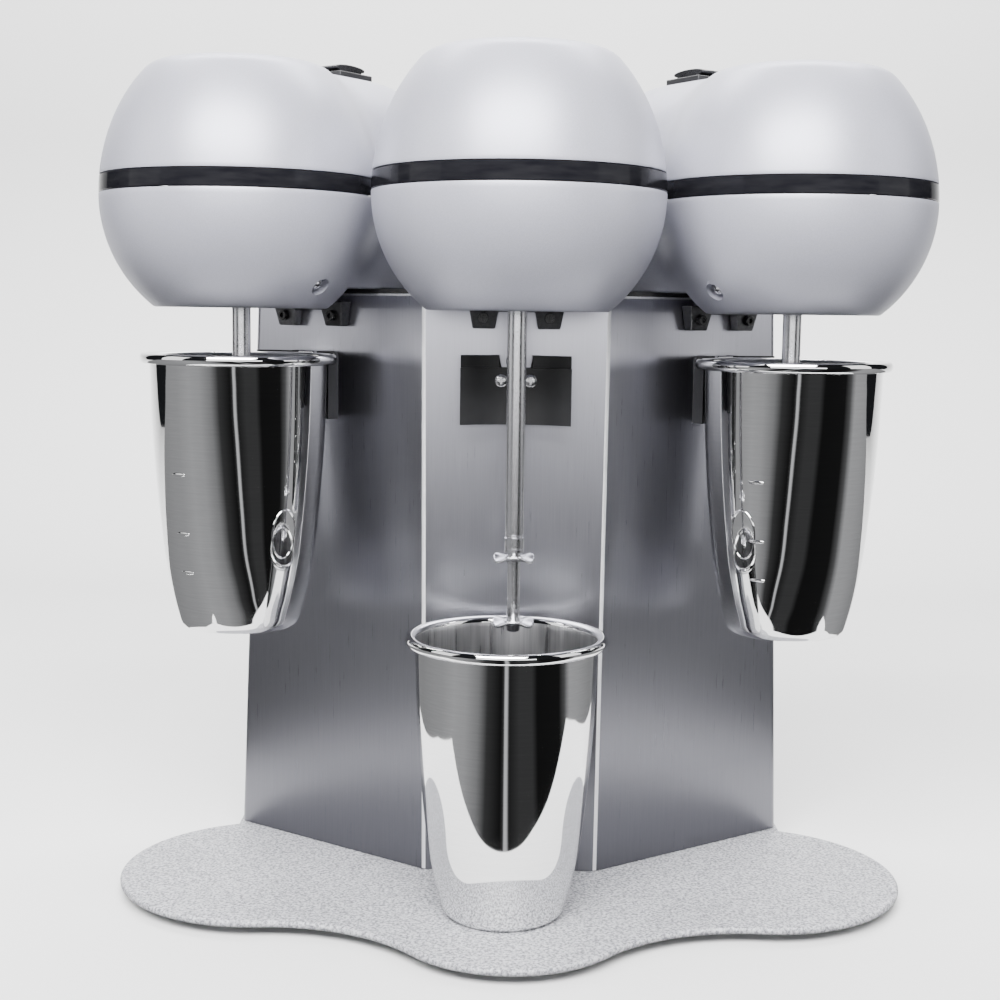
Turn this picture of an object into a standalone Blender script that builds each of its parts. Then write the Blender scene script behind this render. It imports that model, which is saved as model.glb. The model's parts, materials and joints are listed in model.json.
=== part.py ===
"""Drink mixer with three heads: a trefoil base plate, a folded sheet-steel column and, on each of
its three front faces, a ball-shaped motor head with its spindle, cup rest and mixing cup.

Metres, +Z up. The origin is on the floor, at the middle of the outline seen from above; the front
of the machine faces -Y. Each head is modelled in a frame of its own, with the spindle on its Z axis
and the column behind it at +Y, and is placed by an empty.
"""
import math

import bmesh
import bpy
from mathutils import Matrix, Vector

GAP = 0.0003                 # running gap between pieces that touch on the real machine

# Base plate and feet
FOOT_HEIGHT = 0.006
PLATE_THICKNESS = 0.004
PLATE_TOP = FOOT_HEIGHT + PLATE_THICKNESS
PLATE_EDGE_RADIUS = 0.0014
FRONT_LOBE_RADIUS = 0.067
FRONT_LOBE_FROM_FACE = 0.075
SIDE_LOBE_RADIUS = 0.0845
SIDE_LOBE_X = 0.144
SIDE_LOBE_FROM_FACE = 0.001
WAIST_RADIUS = 0.100
PLATE_REAR_Y = 0.132
PLATE_REAR_HALF_WIDTH = 0.174
PLATE_REAR_CORNER = 0.022
FOOT_RADIUS = 0.0105
FOOT_PLACES = {
    "front": (0.0, -0.098),
    "left": (-0.186, 0.006),
    "right": (0.186, 0.006),
    "rear_left": (-0.130, 0.104),
    "rear_right": (0.130, 0.104),
}

# Column: a narrow front face and two wings swept back from it
FACE_Y = 0.010
WING_ANGLE = math.radians(35.1)
FACE_HALF_WIDTH_BOTTOM = 0.0508
FACE_HALF_WIDTH_TOP = 0.0530
WING_LENGTH_BOTTOM = 0.1479
WING_LENGTH_TOP = 0.1292
COLUMN_REAR_Y = FACE_Y + 0.112
COLUMN_TOP = PLATE_TOP + 0.3388
RETURN_FLANGE = 0.014
SHEET = 0.0015
TOP_PLATE_THICKNESS = 0.002
GASKET_THICKNESS = 0.0022
GLAND_X = 0.105
GLAND_HEIGHT = 0.045
GLAND_BORE_RADIUS = 0.0032
GLAND_PROFILE = ((0.0105, 0.0), (0.0105, 0.0025), (0.0055, 0.0070))  # radius, distance from the cover

# Heads
SPINDLE_TO_FACE = 0.0635
SPINDLE_ALONG_WING = 0.0809
BALL_RADIUS = 0.0773
BALL_CENTRE_Z = PLATE_TOP + 0.390
BALL_BOTTOM = -0.0605        # flat underside, below the ball's centre
BALL_TOP_SEMI_AXIS = 0.0925  # the upper half is a slightly tall ellipsoid
CAP_RADIUS = 0.047           # edge of the nearly flat top
CAP_RISE = 0.0010
SHELL = 0.0025
BAND_BOTTOM = PLATE_TOP + 0.3913
BAND_TOP = PLATE_TOP + 0.4008
NECK_BOTTOM = COLUMN_TOP + GASKET_THICKNESS + 2 * GAP
NECK_CROWN = PLATE_TOP + 0.466
NECK_FOOT_RATIO = 0.86       # width of the neck where it stands on the column, to its full width
NECK_POWER = 2.5             # squareness of the neck's arch
# distance behind the spindle, half width and drop of the crown
NECK_SECTIONS = (
    (0.010, 0.054, 0.0080),
    (0.032, 0.0565, 0.0040),
    (0.052, 0.058, 0.0006),
    (0.078, 0.058, 0.0),
    (0.100, 0.0525, 0.0010),
    (0.117, 0.0445, 0.0060),
    (0.127, 0.0340, 0.0160),
    (0.132, 0.0200, 0.0320),
)
WIRE_HOLE_Y = 0.098
WIRE_HOLE_RADIUS = 0.009

# Motor and spindle
SHAFT_RADIUS = 0.0052
THIN_SHAFT_RADIUS = 0.0036
SHAFT_TOP = BALL_CENTRE_Z + 0.048
SLEEVE_TOP = PLATE_TOP + 0.209
UPPER_BEATER_Z = PLATE_TOP + 0.1975
LOWER_BEATER_Z = PLATE_TOP + 0.1625
SPINDLE_TIP = PLATE_TOP + 0.1575
BEATER_RADIUS = 0.0112
BEATER_THICKNESS = 0.0016
BEATER_WAVE = 0.0016
BEATER_WAVES = 3
ROTOR_RADIUS = 0.0245
ROTOR_HEIGHT = 0.050
STATOR_RADIUS = 0.040
STATOR_BORE = 0.0255
STATOR_HEIGHT = 0.056
BRIDGE_THICKNESS = 0.006
BEARING_PLAY = 0.0001

# Rocker switch on the neck
SWITCH_Y = 0.086
BEZEL_LENGTH = 0.029
BEZEL_WIDTH = 0.023
BEZEL_HEIGHT = 0.0024
SWITCH_BODY_LENGTH = 0.0235
SWITCH_BODY_WIDTH = 0.0175
SWITCH_BODY_DEPTH = 0.021
RECESS_LENGTH = 0.0212
RECESS_WIDTH = 0.0152
RECESS_DEPTH = 0.0080
ROCKER_WIDTH = 0.0142
ROCKER_AXIS_Z = NECK_CROWN + 0.0022

# Cup rest, lever and bracket on the column's face
REST_HALF_WIDTH = 0.031
REST_BOSS_HALF_WIDTH = 0.014
REST_BOTTOM = PLATE_TOP + 0.266
REST_TOP = PLATE_TOP + 0.3048
NOTCH_HALF_WIDTH = 0.0094
LEVER_HALF_WIDTH = 0.0055
LEVER_THICKNESS = 0.0010
LEVER_HEIGHT = 0.0075
LEVER_PIVOT_FROM_FACE = 0.0045
LEVER_LEAN_PRESSED = math.radians(46)
LEVER_LEAN_FREE = math.radians(62)
BRACKET_DEPTH = 0.0090       # at the top; the lugs' front faces slope back towards the bottom
BRACKET_FOOT_DEPTH = 0.0062
BRACKET_TOP = COLUMN_TOP - 0.0048
BRACKET_BOTTOM = COLUMN_TOP - 0.0192

# Mixing cup
CUP_HEIGHT = 0.1556
RIM_RADIUS = 0.055
RIM_HEIGHT = 0.0055
RIM_TOP_ON_REST = PLATE_TOP + 0.3039
LEDGE_TOP = RIM_TOP_ON_REST - RIM_HEIGHT - 0.0005
LEDGE_HOLLOW_RADIUS = 0.0512
REST_HOLLOW_RADIUS = 0.0557
REST_BACK_RADIUS = 0.0584
CUP_TO_FACE = 0.0656
STANDING_CUP = (-0.0035, FACE_Y - 0.0635)
CUP_SEGMENTS = 24

CUTTER_WIDTH = 0.4           # wider than any head
HEADS = ("left", "centre", "right")
SEGMENTS = 24
MM = 0.001

MATERIALS = {
    "powder_coat": ((0.62, 0.63, 0.65), 0.55, 0.2),
    "stainless": ((0.60, 0.60, 0.62), 0.30, 1.0),
    "polished_steel": ((0.78, 0.78, 0.78), 0.06, 1.0),
    "head_plastic": ((0.58, 0.59, 0.62), 0.35, 0.1),
    "gloss_black": ((0.015, 0.015, 0.018), 0.10, 0.0),
    "black_nylon": ((0.03, 0.03, 0.032), 0.45, 0.0),
    "rubber": ((0.02, 0.02, 0.02), 0.80, 0.0),
    "motor_iron": ((0.35, 0.35, 0.36), 0.45, 1.0),
    "copper_brown": ((0.42, 0.22, 0.12), 0.45, 0.6),
}


# ---------------------------------------------------------------- helpers

def clear_scene():
    for obj in list(bpy.data.objects):
        bpy.data.objects.remove(obj, do_unlink=True)


def make_materials():
    made = {}
    for name, (colour, roughness, metallic) in MATERIALS.items():
        material = bpy.data.materials.new(name)
        material.use_nodes = True
        shader = material.node_tree.nodes["Principled BSDF"]
        shader.inputs["Base Color"].default_value = (*colour, 1.0)
        shader.inputs["Roughness"].default_value = roughness
        shader.inputs["Metallic"].default_value = metallic
        made[name] = material
    return made


def mesh_from(bm, name):
    bmesh.ops.recalc_face_normals(bm, faces=bm.faces[:])
    mesh = bpy.data.meshes.new(name)
    bm.to_mesh(mesh)
    bm.free()
    return mesh


def turned(name, profile, segments=SEGMENTS):
    """A turned piece about Z. The profile is a closed loop of (radius, height) points."""
    bm = bmesh.new()
    rings = []
    for radius, height in profile:
        if radius < 1e-6:
            rings.append([bm.verts.new((0.0, 0.0, height))])
            continue
        angles = [2 * math.pi * i / segments for i in range(segments)]
        rings.append([bm.verts.new((radius * math.cos(a), radius * math.sin(a), height)) for a in angles])
    for ring, following in zip(rings, rings[1:] + rings[:1]):
        if len(ring) == 1 and len(following) == 1:
            continue
        for i in range(segments):
            j = (i + 1) % segments
            corners = [ring[i % len(ring)], ring[j % len(ring)]]
            corners += [following[j % len(following)], following[i % len(following)]]
            bm.faces.new(list(dict.fromkeys(corners)))
    return mesh_from(bm, name)


def ring_profile(inner, outer, bottom, top):
    return [(inner, bottom), (outer, bottom), (outer, top), (inner, top)]


def extruded(name, outline, bottom, top):
    """A plate with the given (x, y) outline between two heights."""
    bm = bmesh.new()
    low = [bm.verts.new((x, y, bottom)) for x, y in outline]
    high = [bm.verts.new((x, y, top)) for x, y in outline]
    bm.faces.new(low)
    bm.faces.new(high)
    for i in range(len(outline)):
        j = (i + 1) % len(outline)
        bm.faces.new((low[i], low[j], high[j], high[i]))
    return mesh_from(bm, name)


def turn_upright(mesh):
    """Turns a plate drawn as (x, z) and extruded along Z so that its thickness runs along Y."""
    mesh.transform(Matrix(((1, 0, 0, 0), (0, 0, 1, 0), (0, 1, 0, 0), (0, 0, 0, 1))))
    mesh.flip_normals()
    return mesh


def turn_sideways(mesh):
    """Turns a plate drawn as (y, z) and extruded along Z so that its thickness runs along X."""
    mesh.transform(Matrix(((0, 0, 1, 0), (1, 0, 0, 0), (0, 1, 0, 0), (0, 0, 0, 1))))
    return mesh


def box(name, centre, size):
    bm = bmesh.new()
    bmesh.ops.create_cube(bm, size=1.0)
    bmesh.ops.scale(bm, vec=size, verts=bm.verts)
    bmesh.ops.translate(bm, vec=centre, verts=bm.verts)
    return mesh_from(bm, name)


def combined(mesh, other, operation):
    """The union, difference or intersection of two meshes, as one new mesh."""
    target = bpy.data.objects.new("target", mesh)
    tool = bpy.data.objects.new("tool", other)
    for obj in (target, tool):
        bpy.context.scene.collection.objects.link(obj)
    modifier = target.modifiers.new("boolean", "BOOLEAN")
    modifier.operation = operation
    modifier.object = tool
    bpy.context.view_layer.update()
    result = bpy.data.meshes.new_from_object(target.evaluated_get(bpy.context.evaluated_depsgraph_get()))
    result.name = mesh.name
    bpy.data.objects.remove(target)
    bpy.data.objects.remove(tool)
    return result


def arc(centre, radius, start, end, steps):
    """Points on an arc from one angle to another, both ends included."""
    angles = [start + (end - start) * i / steps for i in range(steps + 1)]
    return [(centre[0] + radius * math.cos(a), centre[1] + radius * math.sin(a)) for a in angles]


def inset(outline, distance):
    """A counter-clockwise outline moved inwards by a distance."""
    count = len(outline)
    lines = []
    for i in range(count):
        start = Vector(outline[i])
        along = (Vector(outline[(i + 1) % count]) - start).normalized()
        lines.append((start + distance * Vector((-along.y, along.x)), along))
    moved = []
    for i in range(count):
        (p, u), (q, v) = lines[i - 1], lines[i]
        moved.append(tuple(p + u * ((q - p).cross(v) / u.cross(v))))
    return moved


# ---------------------------------------------------------------- base

def plate_outline():
    """Three lobes joined by hollow waists in front, and a straight rear edge."""
    front = Vector((0.0, FACE_Y - FRONT_LOBE_FROM_FACE))
    side = Vector((SIDE_LOBE_X, FACE_Y + SIDE_LOBE_FROM_FACE))
    to_side = side - front
    apart = to_side.length
    from_front = FRONT_LOBE_RADIUS + WAIST_RADIUS
    from_side = SIDE_LOBE_RADIUS + WAIST_RADIUS
    along = (from_front ** 2 - from_side ** 2 + apart ** 2) / (2 * apart)
    across = math.sqrt(from_front ** 2 - along ** 2)
    unit = to_side / apart
    waist = front + along * unit + across * Vector((unit.y, -unit.x))

    def angle(origin, point):
        return math.atan2(point.y - origin.y, point.x - origin.x)

    rear_meeting = math.acos((PLATE_REAR_HALF_WIDTH - side.x) / SIDE_LOBE_RADIUS)
    right = arc(front, FRONT_LOBE_RADIUS, -math.pi / 2, angle(front, waist), 4)
    right += arc(waist, WAIST_RADIUS, angle(waist, front), angle(waist, side), 5)[1:]
    right += arc(side, SIDE_LOBE_RADIUS, angle(side, waist), rear_meeting, 12)[1:]
    corner = (PLATE_REAR_HALF_WIDTH - PLATE_REAR_CORNER, PLATE_REAR_Y - PLATE_REAR_CORNER)
    right += arc(corner, PLATE_REAR_CORNER, 0.0, math.pi / 2, 3)
    left = [(-x, y) for x, y in reversed(right[1:])]
    return right + left


def make_base(add):
    plate = add("base_plate", extruded("base_plate", plate_outline(), FOOT_HEIGHT, PLATE_TOP), "powder_coat")
    bevel = plate.modifiers.new("edge", "BEVEL")
    bevel.width = PLATE_EDGE_RADIUS
    bevel.segments = 1
    bevel.limit_method = "ANGLE"
    bevel.angle_limit = math.radians(60)
    top = FOOT_HEIGHT - GAP
    profile = [(0.0, 0.0), (FOOT_RADIUS * 0.85, 0.0), (FOOT_RADIUS, 0.0015), (FOOT_RADIUS, top), (0.0, top)]
    foot = turned("foot", profile, 16)
    for name, (x, y) in FOOT_PLACES.items():
        add("foot_" + name, foot, "rubber", (x, y, 0.0))


# ---------------------------------------------------------------- column

def column_plan(half_width, wing_length):
    """Right-hand half of the column's plan, from the front bend to the rear flange's edge."""
    outer = Vector((math.cos(WING_ANGLE), math.sin(WING_ANGLE))) * wing_length
    corner = (half_width + outer.x, FACE_Y + outer.y)
    rear = (corner[0], COLUMN_REAR_Y)
    return [(half_width, FACE_Y), corner, rear, (rear[0] - RETURN_FLANGE, COLUMN_REAR_Y)]


def mirrored(right):
    return [(-x, y) for x, y in reversed(right)] + right


def make_column(add):
    bottom_half = column_plan(FACE_HALF_WIDTH_BOTTOM, WING_LENGTH_BOTTOM)
    top_half = column_plan(FACE_HALF_WIDTH_TOP, WING_LENGTH_TOP)
    bm = bmesh.new()
    low = [bm.verts.new((x, y, PLATE_TOP + GAP)) for x, y in mirrored(bottom_half)]
    high = [bm.verts.new((x, y, COLUMN_TOP)) for x, y in mirrored(top_half)]
    for i in range(len(low) - 1):
        bm.faces.new((low[i], low[i + 1], high[i + 1], high[i]))
    mesh = bpy.data.meshes.new("column_shell")
    bm.to_mesh(mesh)
    bm.free()
    shell = add("column_shell", mesh, "stainless")
    thickness = shell.modifiers.new("sheet", "SOLIDIFY")
    thickness.thickness = SHEET
    thickness.offset = -1.0
    thickness.use_even_offset = True

    top_outline = mirrored(top_half[:3])
    lid = inset(top_outline, SHEET + 2 * GAP)
    add("column_top_plate", extruded("column_top_plate", lid, COLUMN_TOP - TOP_PLATE_THICKNESS, COLUMN_TOP),
        "stainless")
    gasket_bottom = COLUMN_TOP + GAP
    add("column_gasket", extruded("column_gasket", inset(top_outline, 0.0004), gasket_bottom,
                                  gasket_bottom + GASKET_THICKNESS), "rubber")

    rear_low, rear_high = bottom_half[2][0], top_half[2][0]
    outline = mirrored([(rear_low, PLATE_TOP + GAP), (rear_high, COLUMN_TOP)])
    outline = outline[1:] + outline[:1]
    cover_y = COLUMN_REAR_Y + GAP
    add("rear_cover", turn_upright(extruded("rear_cover", outline, cover_y, cover_y + SHEET)), "stainless")

    ends = [(GLAND_BORE_RADIUS, GLAND_PROFILE[0][1]), (GLAND_BORE_RADIUS, GLAND_PROFILE[-1][1])]
    gland = turned("cord_gland", [ends[0], *GLAND_PROFILE, ends[1]], 14)
    gland.transform(Matrix.Rotation(-math.pi / 2, 4, "X"))
    place = (GLAND_X, cover_y + SHEET + GAP, PLATE_TOP + GLAND_HEIGHT)
    add("cord_gland", gland, "black_nylon", place)


# ---------------------------------------------------------------- heads

def ball_profile(shrink):
    """Profile of the ball, a little smaller all over by the shrink."""
    radius = BALL_RADIUS - shrink
    semi_axis = BALL_TOP_SEMI_AXIS - shrink
    bottom = BALL_BOTTOM + shrink
    low_angle = math.asin(bottom / radius)
    cap_radius = CAP_RADIUS - 0.5 * shrink
    cap_angle = math.acos(cap_radius / radius)
    points = [(0.0, bottom)]
    low_steps, high_steps = 4, 5
    for i in range(low_steps + 1):
        angle = low_angle * (1 - i / low_steps)
        points.append((radius * math.cos(angle), radius * math.sin(angle)))
    for i in range(1, high_steps + 1):
        angle = cap_angle * i / high_steps
        points.append((radius * math.cos(angle), semi_axis * math.sin(angle)))
    points += [(0.0, points[-1][1] + CAP_RISE)]
    return [(r, BALL_CENTRE_Z + z) for r, z in points]


def neck_section(half_width, drop, shrink):
    """Arch across the neck: straight legs, then a squared half ellipse. Counter-clockwise (x, z)."""
    width = half_width - shrink
    foot = half_width * NECK_FOOT_RATIO - shrink
    bottom = NECK_BOTTOM + shrink
    rise = NECK_CROWN - drop - shrink - BALL_CENTRE_Z
    points = [(foot, bottom)]
    for i in range(7):
        angle = math.pi * i / 6
        across, up = math.cos(angle), math.sin(angle)
        x = math.copysign(abs(across) ** (2 / NECK_POWER), across)
        points.append((width * x, BALL_CENTRE_Z + rise * up ** (2 / NECK_POWER)))
    return points + [(-foot, bottom)]


def neck_volume(shrink):
    bm = bmesh.new()
    rings = []
    last = len(NECK_SECTIONS) - 1
    for index, (y, half_width, drop) in enumerate(NECK_SECTIONS):
        if index == last:
            y -= shrink
        section = neck_section(half_width, drop, shrink)
        rings.append([bm.verts.new((x, y, z)) for x, z in section])
    for ring, following in zip(rings, rings[1:]):
        for i in range(len(ring)):
            j = (i + 1) % len(ring)
            bm.faces.new((ring[i], ring[j], following[j], following[i]))
    bm.faces.new(rings[0])
    bm.faces.new(rings[-1])
    return mesh_from(bm, "neck")


def head_volume(shrink):
    return combined(turned("head", ball_profile(shrink)), neck_volume(shrink), "UNION")


def head_slice(name, bottom, top):
    """The hollow casing of the head between two heights."""
    slab = box("slab", (0.0, 0.0, (bottom + top) / 2), (CUTTER_WIDTH, CUTTER_WIDTH, top - bottom))
    solid = combined(head_volume(0.0), slab, "INTERSECT")
    piece = combined(solid, head_volume(SHELL), "DIFFERENCE")
    piece.name = name
    return piece


def upper_shell_mesh():
    shell = head_slice("upper_shell", BAND_TOP + GAP, BALL_CENTRE_Z + 0.2)
    hole = (SWITCH_BODY_WIDTH + 2 * GAP, SWITCH_BODY_LENGTH + 2 * GAP, 0.04)
    return combined(shell, box("hole", (0.0, SWITCH_Y, NECK_CROWN), hole), "DIFFERENCE")


def lower_shell_mesh():
    shell = head_slice("lower_shell", BALL_CENTRE_Z - 0.2, BAND_BOTTOM - GAP)
    spindle_hole = ring_profile(0.0, SHAFT_RADIUS + 0.0012, BALL_CENTRE_Z - 0.08, BALL_CENTRE_Z - 0.05)
    shell = combined(shell, turned("hole", spindle_hole, 16), "DIFFERENCE")
    wire_hole = ring_profile(0.0, WIRE_HOLE_RADIUS, NECK_BOTTOM - 0.01, NECK_BOTTOM + 0.01)
    wire_hole = turned("hole", wire_hole, 16)
    wire_hole.transform(Matrix.Translation((0.0, WIRE_HOLE_Y, 0.0)))
    return combined(shell, wire_hole, "DIFFERENCE")


def spindle_mesh():
    """Main shaft with a groove and a sleeve, then the thin shaft that carries the lower beater."""
    sleeve_bottom = UPPER_BEATER_Z + BEATER_THICKNESS + BEATER_WAVE
    return turned("spindle", [
        (0.0, SHAFT_TOP), (SHAFT_RADIUS, SHAFT_TOP), (SHAFT_RADIUS, SLEEVE_TOP + 0.0012),
        (SHAFT_RADIUS - 0.0008, SLEEVE_TOP + 0.0012), (SHAFT_RADIUS - 0.0008, SLEEVE_TOP),
        (SHAFT_RADIUS + 0.0003, SLEEVE_TOP), (SHAFT_RADIUS + 0.0003, sleeve_bottom),
        (THIN_SHAFT_RADIUS, sleeve_bottom), (THIN_SHAFT_RADIUS, SPINDLE_TIP + 0.0010),
        (THIN_SHAFT_RADIUS - 0.0010, SPINDLE_TIP), (0.0, SPINDLE_TIP),
    ], 12)


def beater_mesh():
    """A wavy disc, its rim going up and down, pressed on the thin shaft."""
    bm = bmesh.new()
    segments = 18
    rings = []
    bore = THIN_SHAFT_RADIUS + GAP
    for radius, side in ((bore, -1), (BEATER_RADIUS, -1), (BEATER_RADIUS, 1), (bore, 1)):
        ring = []
        wave = BEATER_WAVE * (radius / BEATER_RADIUS) ** 2
        for i in range(segments):
            angle = 2 * math.pi * i / segments
            z = side * BEATER_THICKNESS / 2 + wave * math.sin(BEATER_WAVES * angle)
            ring.append(bm.verts.new((radius * math.cos(angle), radius * math.sin(angle), z)))
        rings.append(ring)
    for ring, following in zip(rings, rings[1:] + rings[:1]):
        for i in range(segments):
            j = (i + 1) % segments
            bm.faces.new((ring[i], ring[j], following[j], following[i]))
    return mesh_from(bm, "beater")


def bridge_mesh(name, bottom):
    """End bridge of the motor, which carries a bearing."""
    segments = 14
    bore = (SHAFT_RADIUS + BEARING_PLAY) / math.cos(math.pi / segments)
    return turned(name, ring_profile(bore, STATOR_RADIUS, bottom, bottom + BRIDGE_THICKNESS), segments)


def switch_body_mesh():
    top = NECK_CROWN + 2 * GAP + BEZEL_HEIGHT
    size = (BEZEL_WIDTH, BEZEL_LENGTH, BEZEL_HEIGHT)
    bezel = box("switch_body", (0.0, SWITCH_Y, top - BEZEL_HEIGHT / 2), size)
    size = (SWITCH_BODY_WIDTH, SWITCH_BODY_LENGTH, SWITCH_BODY_DEPTH)
    body = box("body", (0.0, SWITCH_Y, top - 0.001 - SWITCH_BODY_DEPTH / 2), size)
    solid = combined(bezel, body, "UNION")
    recess = box("recess", (0.0, SWITCH_Y, top), (RECESS_WIDTH, RECESS_LENGTH, 2 * RECESS_DEPTH))
    return combined(solid, recess, "DIFFERENCE")


def rocker_mesh():
    """Rocker seen from the side, about its own axis: a stem in the recess and a crowned key above."""
    outline = [(-8.8, -3.2), (8.8, -3.2), (9.9, 2.1), (12.6, 2.75), (12.8, 3.9)]
    crown = [math.pi * i / 4 for i in (1, 2, 3)]
    outline += [(12.8 * math.cos(a), 3.9 + 1.9 * math.sin(a)) for a in crown]
    outline += [(-12.8, 3.9), (-12.6, 2.75), (-9.9, 2.1)]
    points = [(y * MM, z * MM) for y, z in outline]
    return turn_sideways(extruded("switch_rocker", points, -ROCKER_WIDTH / 2, ROCKER_WIDTH / 2))


def rest_layer(name, hollow_radius, bottom, top):
    """One layer of the cup rest: a crescent round the hung cup, with a boss that meets the column."""
    face = SPINDLE_TO_FACE - GAP
    cup = (0.0, SPINDLE_TO_FACE - CUP_TO_FACE)
    swing = math.asin(REST_HALF_WIDTH / hollow_radius)
    front = arc(cup, hollow_radius, math.pi / 2 - swing, math.pi / 2 + swing, 10)
    tip = math.asin(REST_HALF_WIDTH / REST_BACK_RADIUS)
    root = math.asin(REST_BOSS_HALF_WIDTH / REST_BACK_RADIUS)
    left = arc(cup, REST_BACK_RADIUS, math.pi / 2 + tip, math.pi / 2 + root, 4)
    right = [(-x, y) for x, y in reversed(left)]
    boss = [(-REST_BOSS_HALF_WIDTH, face), (REST_BOSS_HALF_WIDTH, face)]
    return extruded(name, front + left + boss + right, bottom, top)


def cup_rest_mesh():
    """Crescent with a ledge under the cup's rim and a lip behind it, notched for the lever."""
    lower = rest_layer("cup_rest", LEDGE_HOLLOW_RADIUS, REST_BOTTOM, LEDGE_TOP)
    upper = rest_layer("upper", REST_HOLLOW_RADIUS, LEDGE_TOP - 0.008, REST_TOP)
    solid = combined(lower, upper, "UNION")
    notch = box("notch", (0.0, SPINDLE_TO_FACE, LEDGE_TOP + 0.01), (2 * NOTCH_HALF_WIDTH, 0.05, 0.02))
    return combined(solid, notch, "DIFFERENCE")


def lever_mesh():
    """Spring-steel lever of the micro switch, upright from its pivot."""
    size = (2 * LEVER_HALF_WIDTH, LEVER_THICKNESS, LEVER_HEIGHT)
    return box("cup_lever", (0.0, 0.0, LEVER_HEIGHT / 2), size)


def bracket_mesh():
    """Bar behind the ball with two tapered lugs that are screwed to the column's face."""
    right = [(0.0105, COLUMN_TOP - 0.0098), (0.0122, BRACKET_BOTTOM), (0.0248, BRACKET_BOTTOM)]
    right.append((0.0275, BRACKET_TOP))
    outline = [(-x, z) for x, z in reversed(right)] + right
    back = SPINDLE_TO_FACE - GAP
    mesh = turn_upright(extruded("head_bracket", outline, back - BRACKET_DEPTH, back))
    for vertex in mesh.vertices:
        if vertex.co.y < back - BRACKET_DEPTH / 2:
            lowered = (BRACKET_TOP - vertex.co.z) / (BRACKET_TOP - BRACKET_BOTTOM)
            vertex.co.y += lowered * (BRACKET_DEPTH - BRACKET_FOOT_DEPTH)
    return mesh


def cup_mesh():
    """Tapered cup with a rolled rim, open at the top."""
    wall = 0.9
    outer = [(30.0, 0.0), (34.0, 4.0), (38.4, 22.0), (43.6, 55.0), (47.6, 98.0), (49.6, 150.1)]
    rim = [(55.0, 150.4), (55.0, 154.4), (52.4, 155.6)]
    inner = [(48.7, 154.6)] + [(r - wall, z + wall * (z < 1)) for r, z in reversed(outer[:-1])]
    profile = [(0.0, 0.0)] + outer + rim + inner + [(0.0, wall)]
    return turned("mixing_cup", [(r * MM, z * MM) for r, z in profile], CUP_SEGMENTS)


def make_heads(add):
    lever_y = SPINDLE_TO_FACE - LEVER_PIVOT_FROM_FACE
    stator_bottom = BALL_CENTRE_Z - STATOR_HEIGHT / 2
    rotor_bottom = BALL_CENTRE_Z - ROTOR_HEIGHT / 2
    stator = ring_profile(STATOR_BORE, STATOR_RADIUS, stator_bottom, stator_bottom + STATOR_HEIGHT)
    rotor = ring_profile(SHAFT_RADIUS + GAP, ROTOR_RADIUS, rotor_bottom, rotor_bottom + ROTOR_HEIGHT)
    lower_bridge_bottom = stator_bottom - BRIDGE_THICKNESS - GAP
    upper_bridge_bottom = stator_bottom + STATOR_HEIGHT + GAP
    # name, mesh, material and origin in the head's frame
    pieces = [
        ("lower_shell", lower_shell_mesh(), "head_plastic", (0, 0, 0)),
        ("trim_band", head_slice("trim_band", BAND_BOTTOM, BAND_TOP), "gloss_black", (0, 0, 0)),
        ("upper_shell", upper_shell_mesh(), "head_plastic", (0, 0, 0)),
        ("head_bracket", bracket_mesh(), "black_nylon", (0, 0, 0)),
        ("cup_rest", cup_rest_mesh(), "black_nylon", (0, 0, 0)),
        ("switch_body", switch_body_mesh(), "black_nylon", (0, 0, 0)),
        ("switch_rocker", rocker_mesh(), "gloss_black", (0, SWITCH_Y, ROCKER_AXIS_Z)),
        ("motor_stator", turned("motor_stator", stator, 16), "copper_brown", (0, 0, 0)),
        ("lower_bearing_bridge", bridge_mesh("lower_bridge", lower_bridge_bottom), "motor_iron", (0, 0, 0)),
        ("upper_bearing_bridge", bridge_mesh("upper_bridge", upper_bridge_bottom), "motor_iron", (0, 0, 0)),
        ("motor_rotor", turned("motor_rotor", rotor, 16), "motor_iron", (0, 0, 0)),
        ("spindle", spindle_mesh(), "stainless", (0, 0, 0)),
    ]
    beater, lever, cup = beater_mesh(), lever_mesh(), cup_mesh()
    wing = Vector((math.cos(WING_ANGLE), math.sin(WING_ANGLE))) * SPINDLE_ALONG_WING
    side_x = FACE_HALF_WIDTH_TOP + wing.x + SPINDLE_TO_FACE * math.sin(WING_ANGLE)
    side_y = FACE_Y + wing.y - SPINDLE_TO_FACE * math.cos(WING_ANGLE)
    places = {"left": (-side_x, side_y, -WING_ANGLE), "centre": (0.0, FACE_Y - SPINDLE_TO_FACE, 0.0),
              "right": (side_x, side_y, WING_ANGLE)}
    for head in HEADS:
        x, y, turn = places[head]
        frame = bpy.data.objects.new(head + "_head_frame", None)
        frame.location = (x, y, 0.0)
        frame.rotation_euler = (0.0, 0.0, turn)
        bpy.context.scene.collection.objects.link(frame)
        for name, mesh, material, origin in pieces:
            add(head + "_" + name, mesh, material, origin, frame)
        add(head + "_upper_beater", beater, "stainless", (0, 0, UPPER_BEATER_Z), frame)
        add(head + "_lower_beater", beater, "stainless", (0, 0, LOWER_BEATER_Z), frame)
        arm = add(head + "_cup_lever", lever, "stainless", (0, lever_y, LEDGE_TOP + 0.0020), frame)
        arm.rotation_euler.x = LEVER_LEAN_FREE if head == "centre" else LEVER_LEAN_PRESSED
        if head == "centre":
            add(head + "_mixing_cup", cup, "polished_steel", (*STANDING_CUP, PLATE_TOP + GAP))
        else:
            origin = (0, SPINDLE_TO_FACE - CUP_TO_FACE, RIM_TOP_ON_REST - CUP_HEIGHT)
            add(head + "_mixing_cup", cup, "polished_steel", origin, frame)


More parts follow.
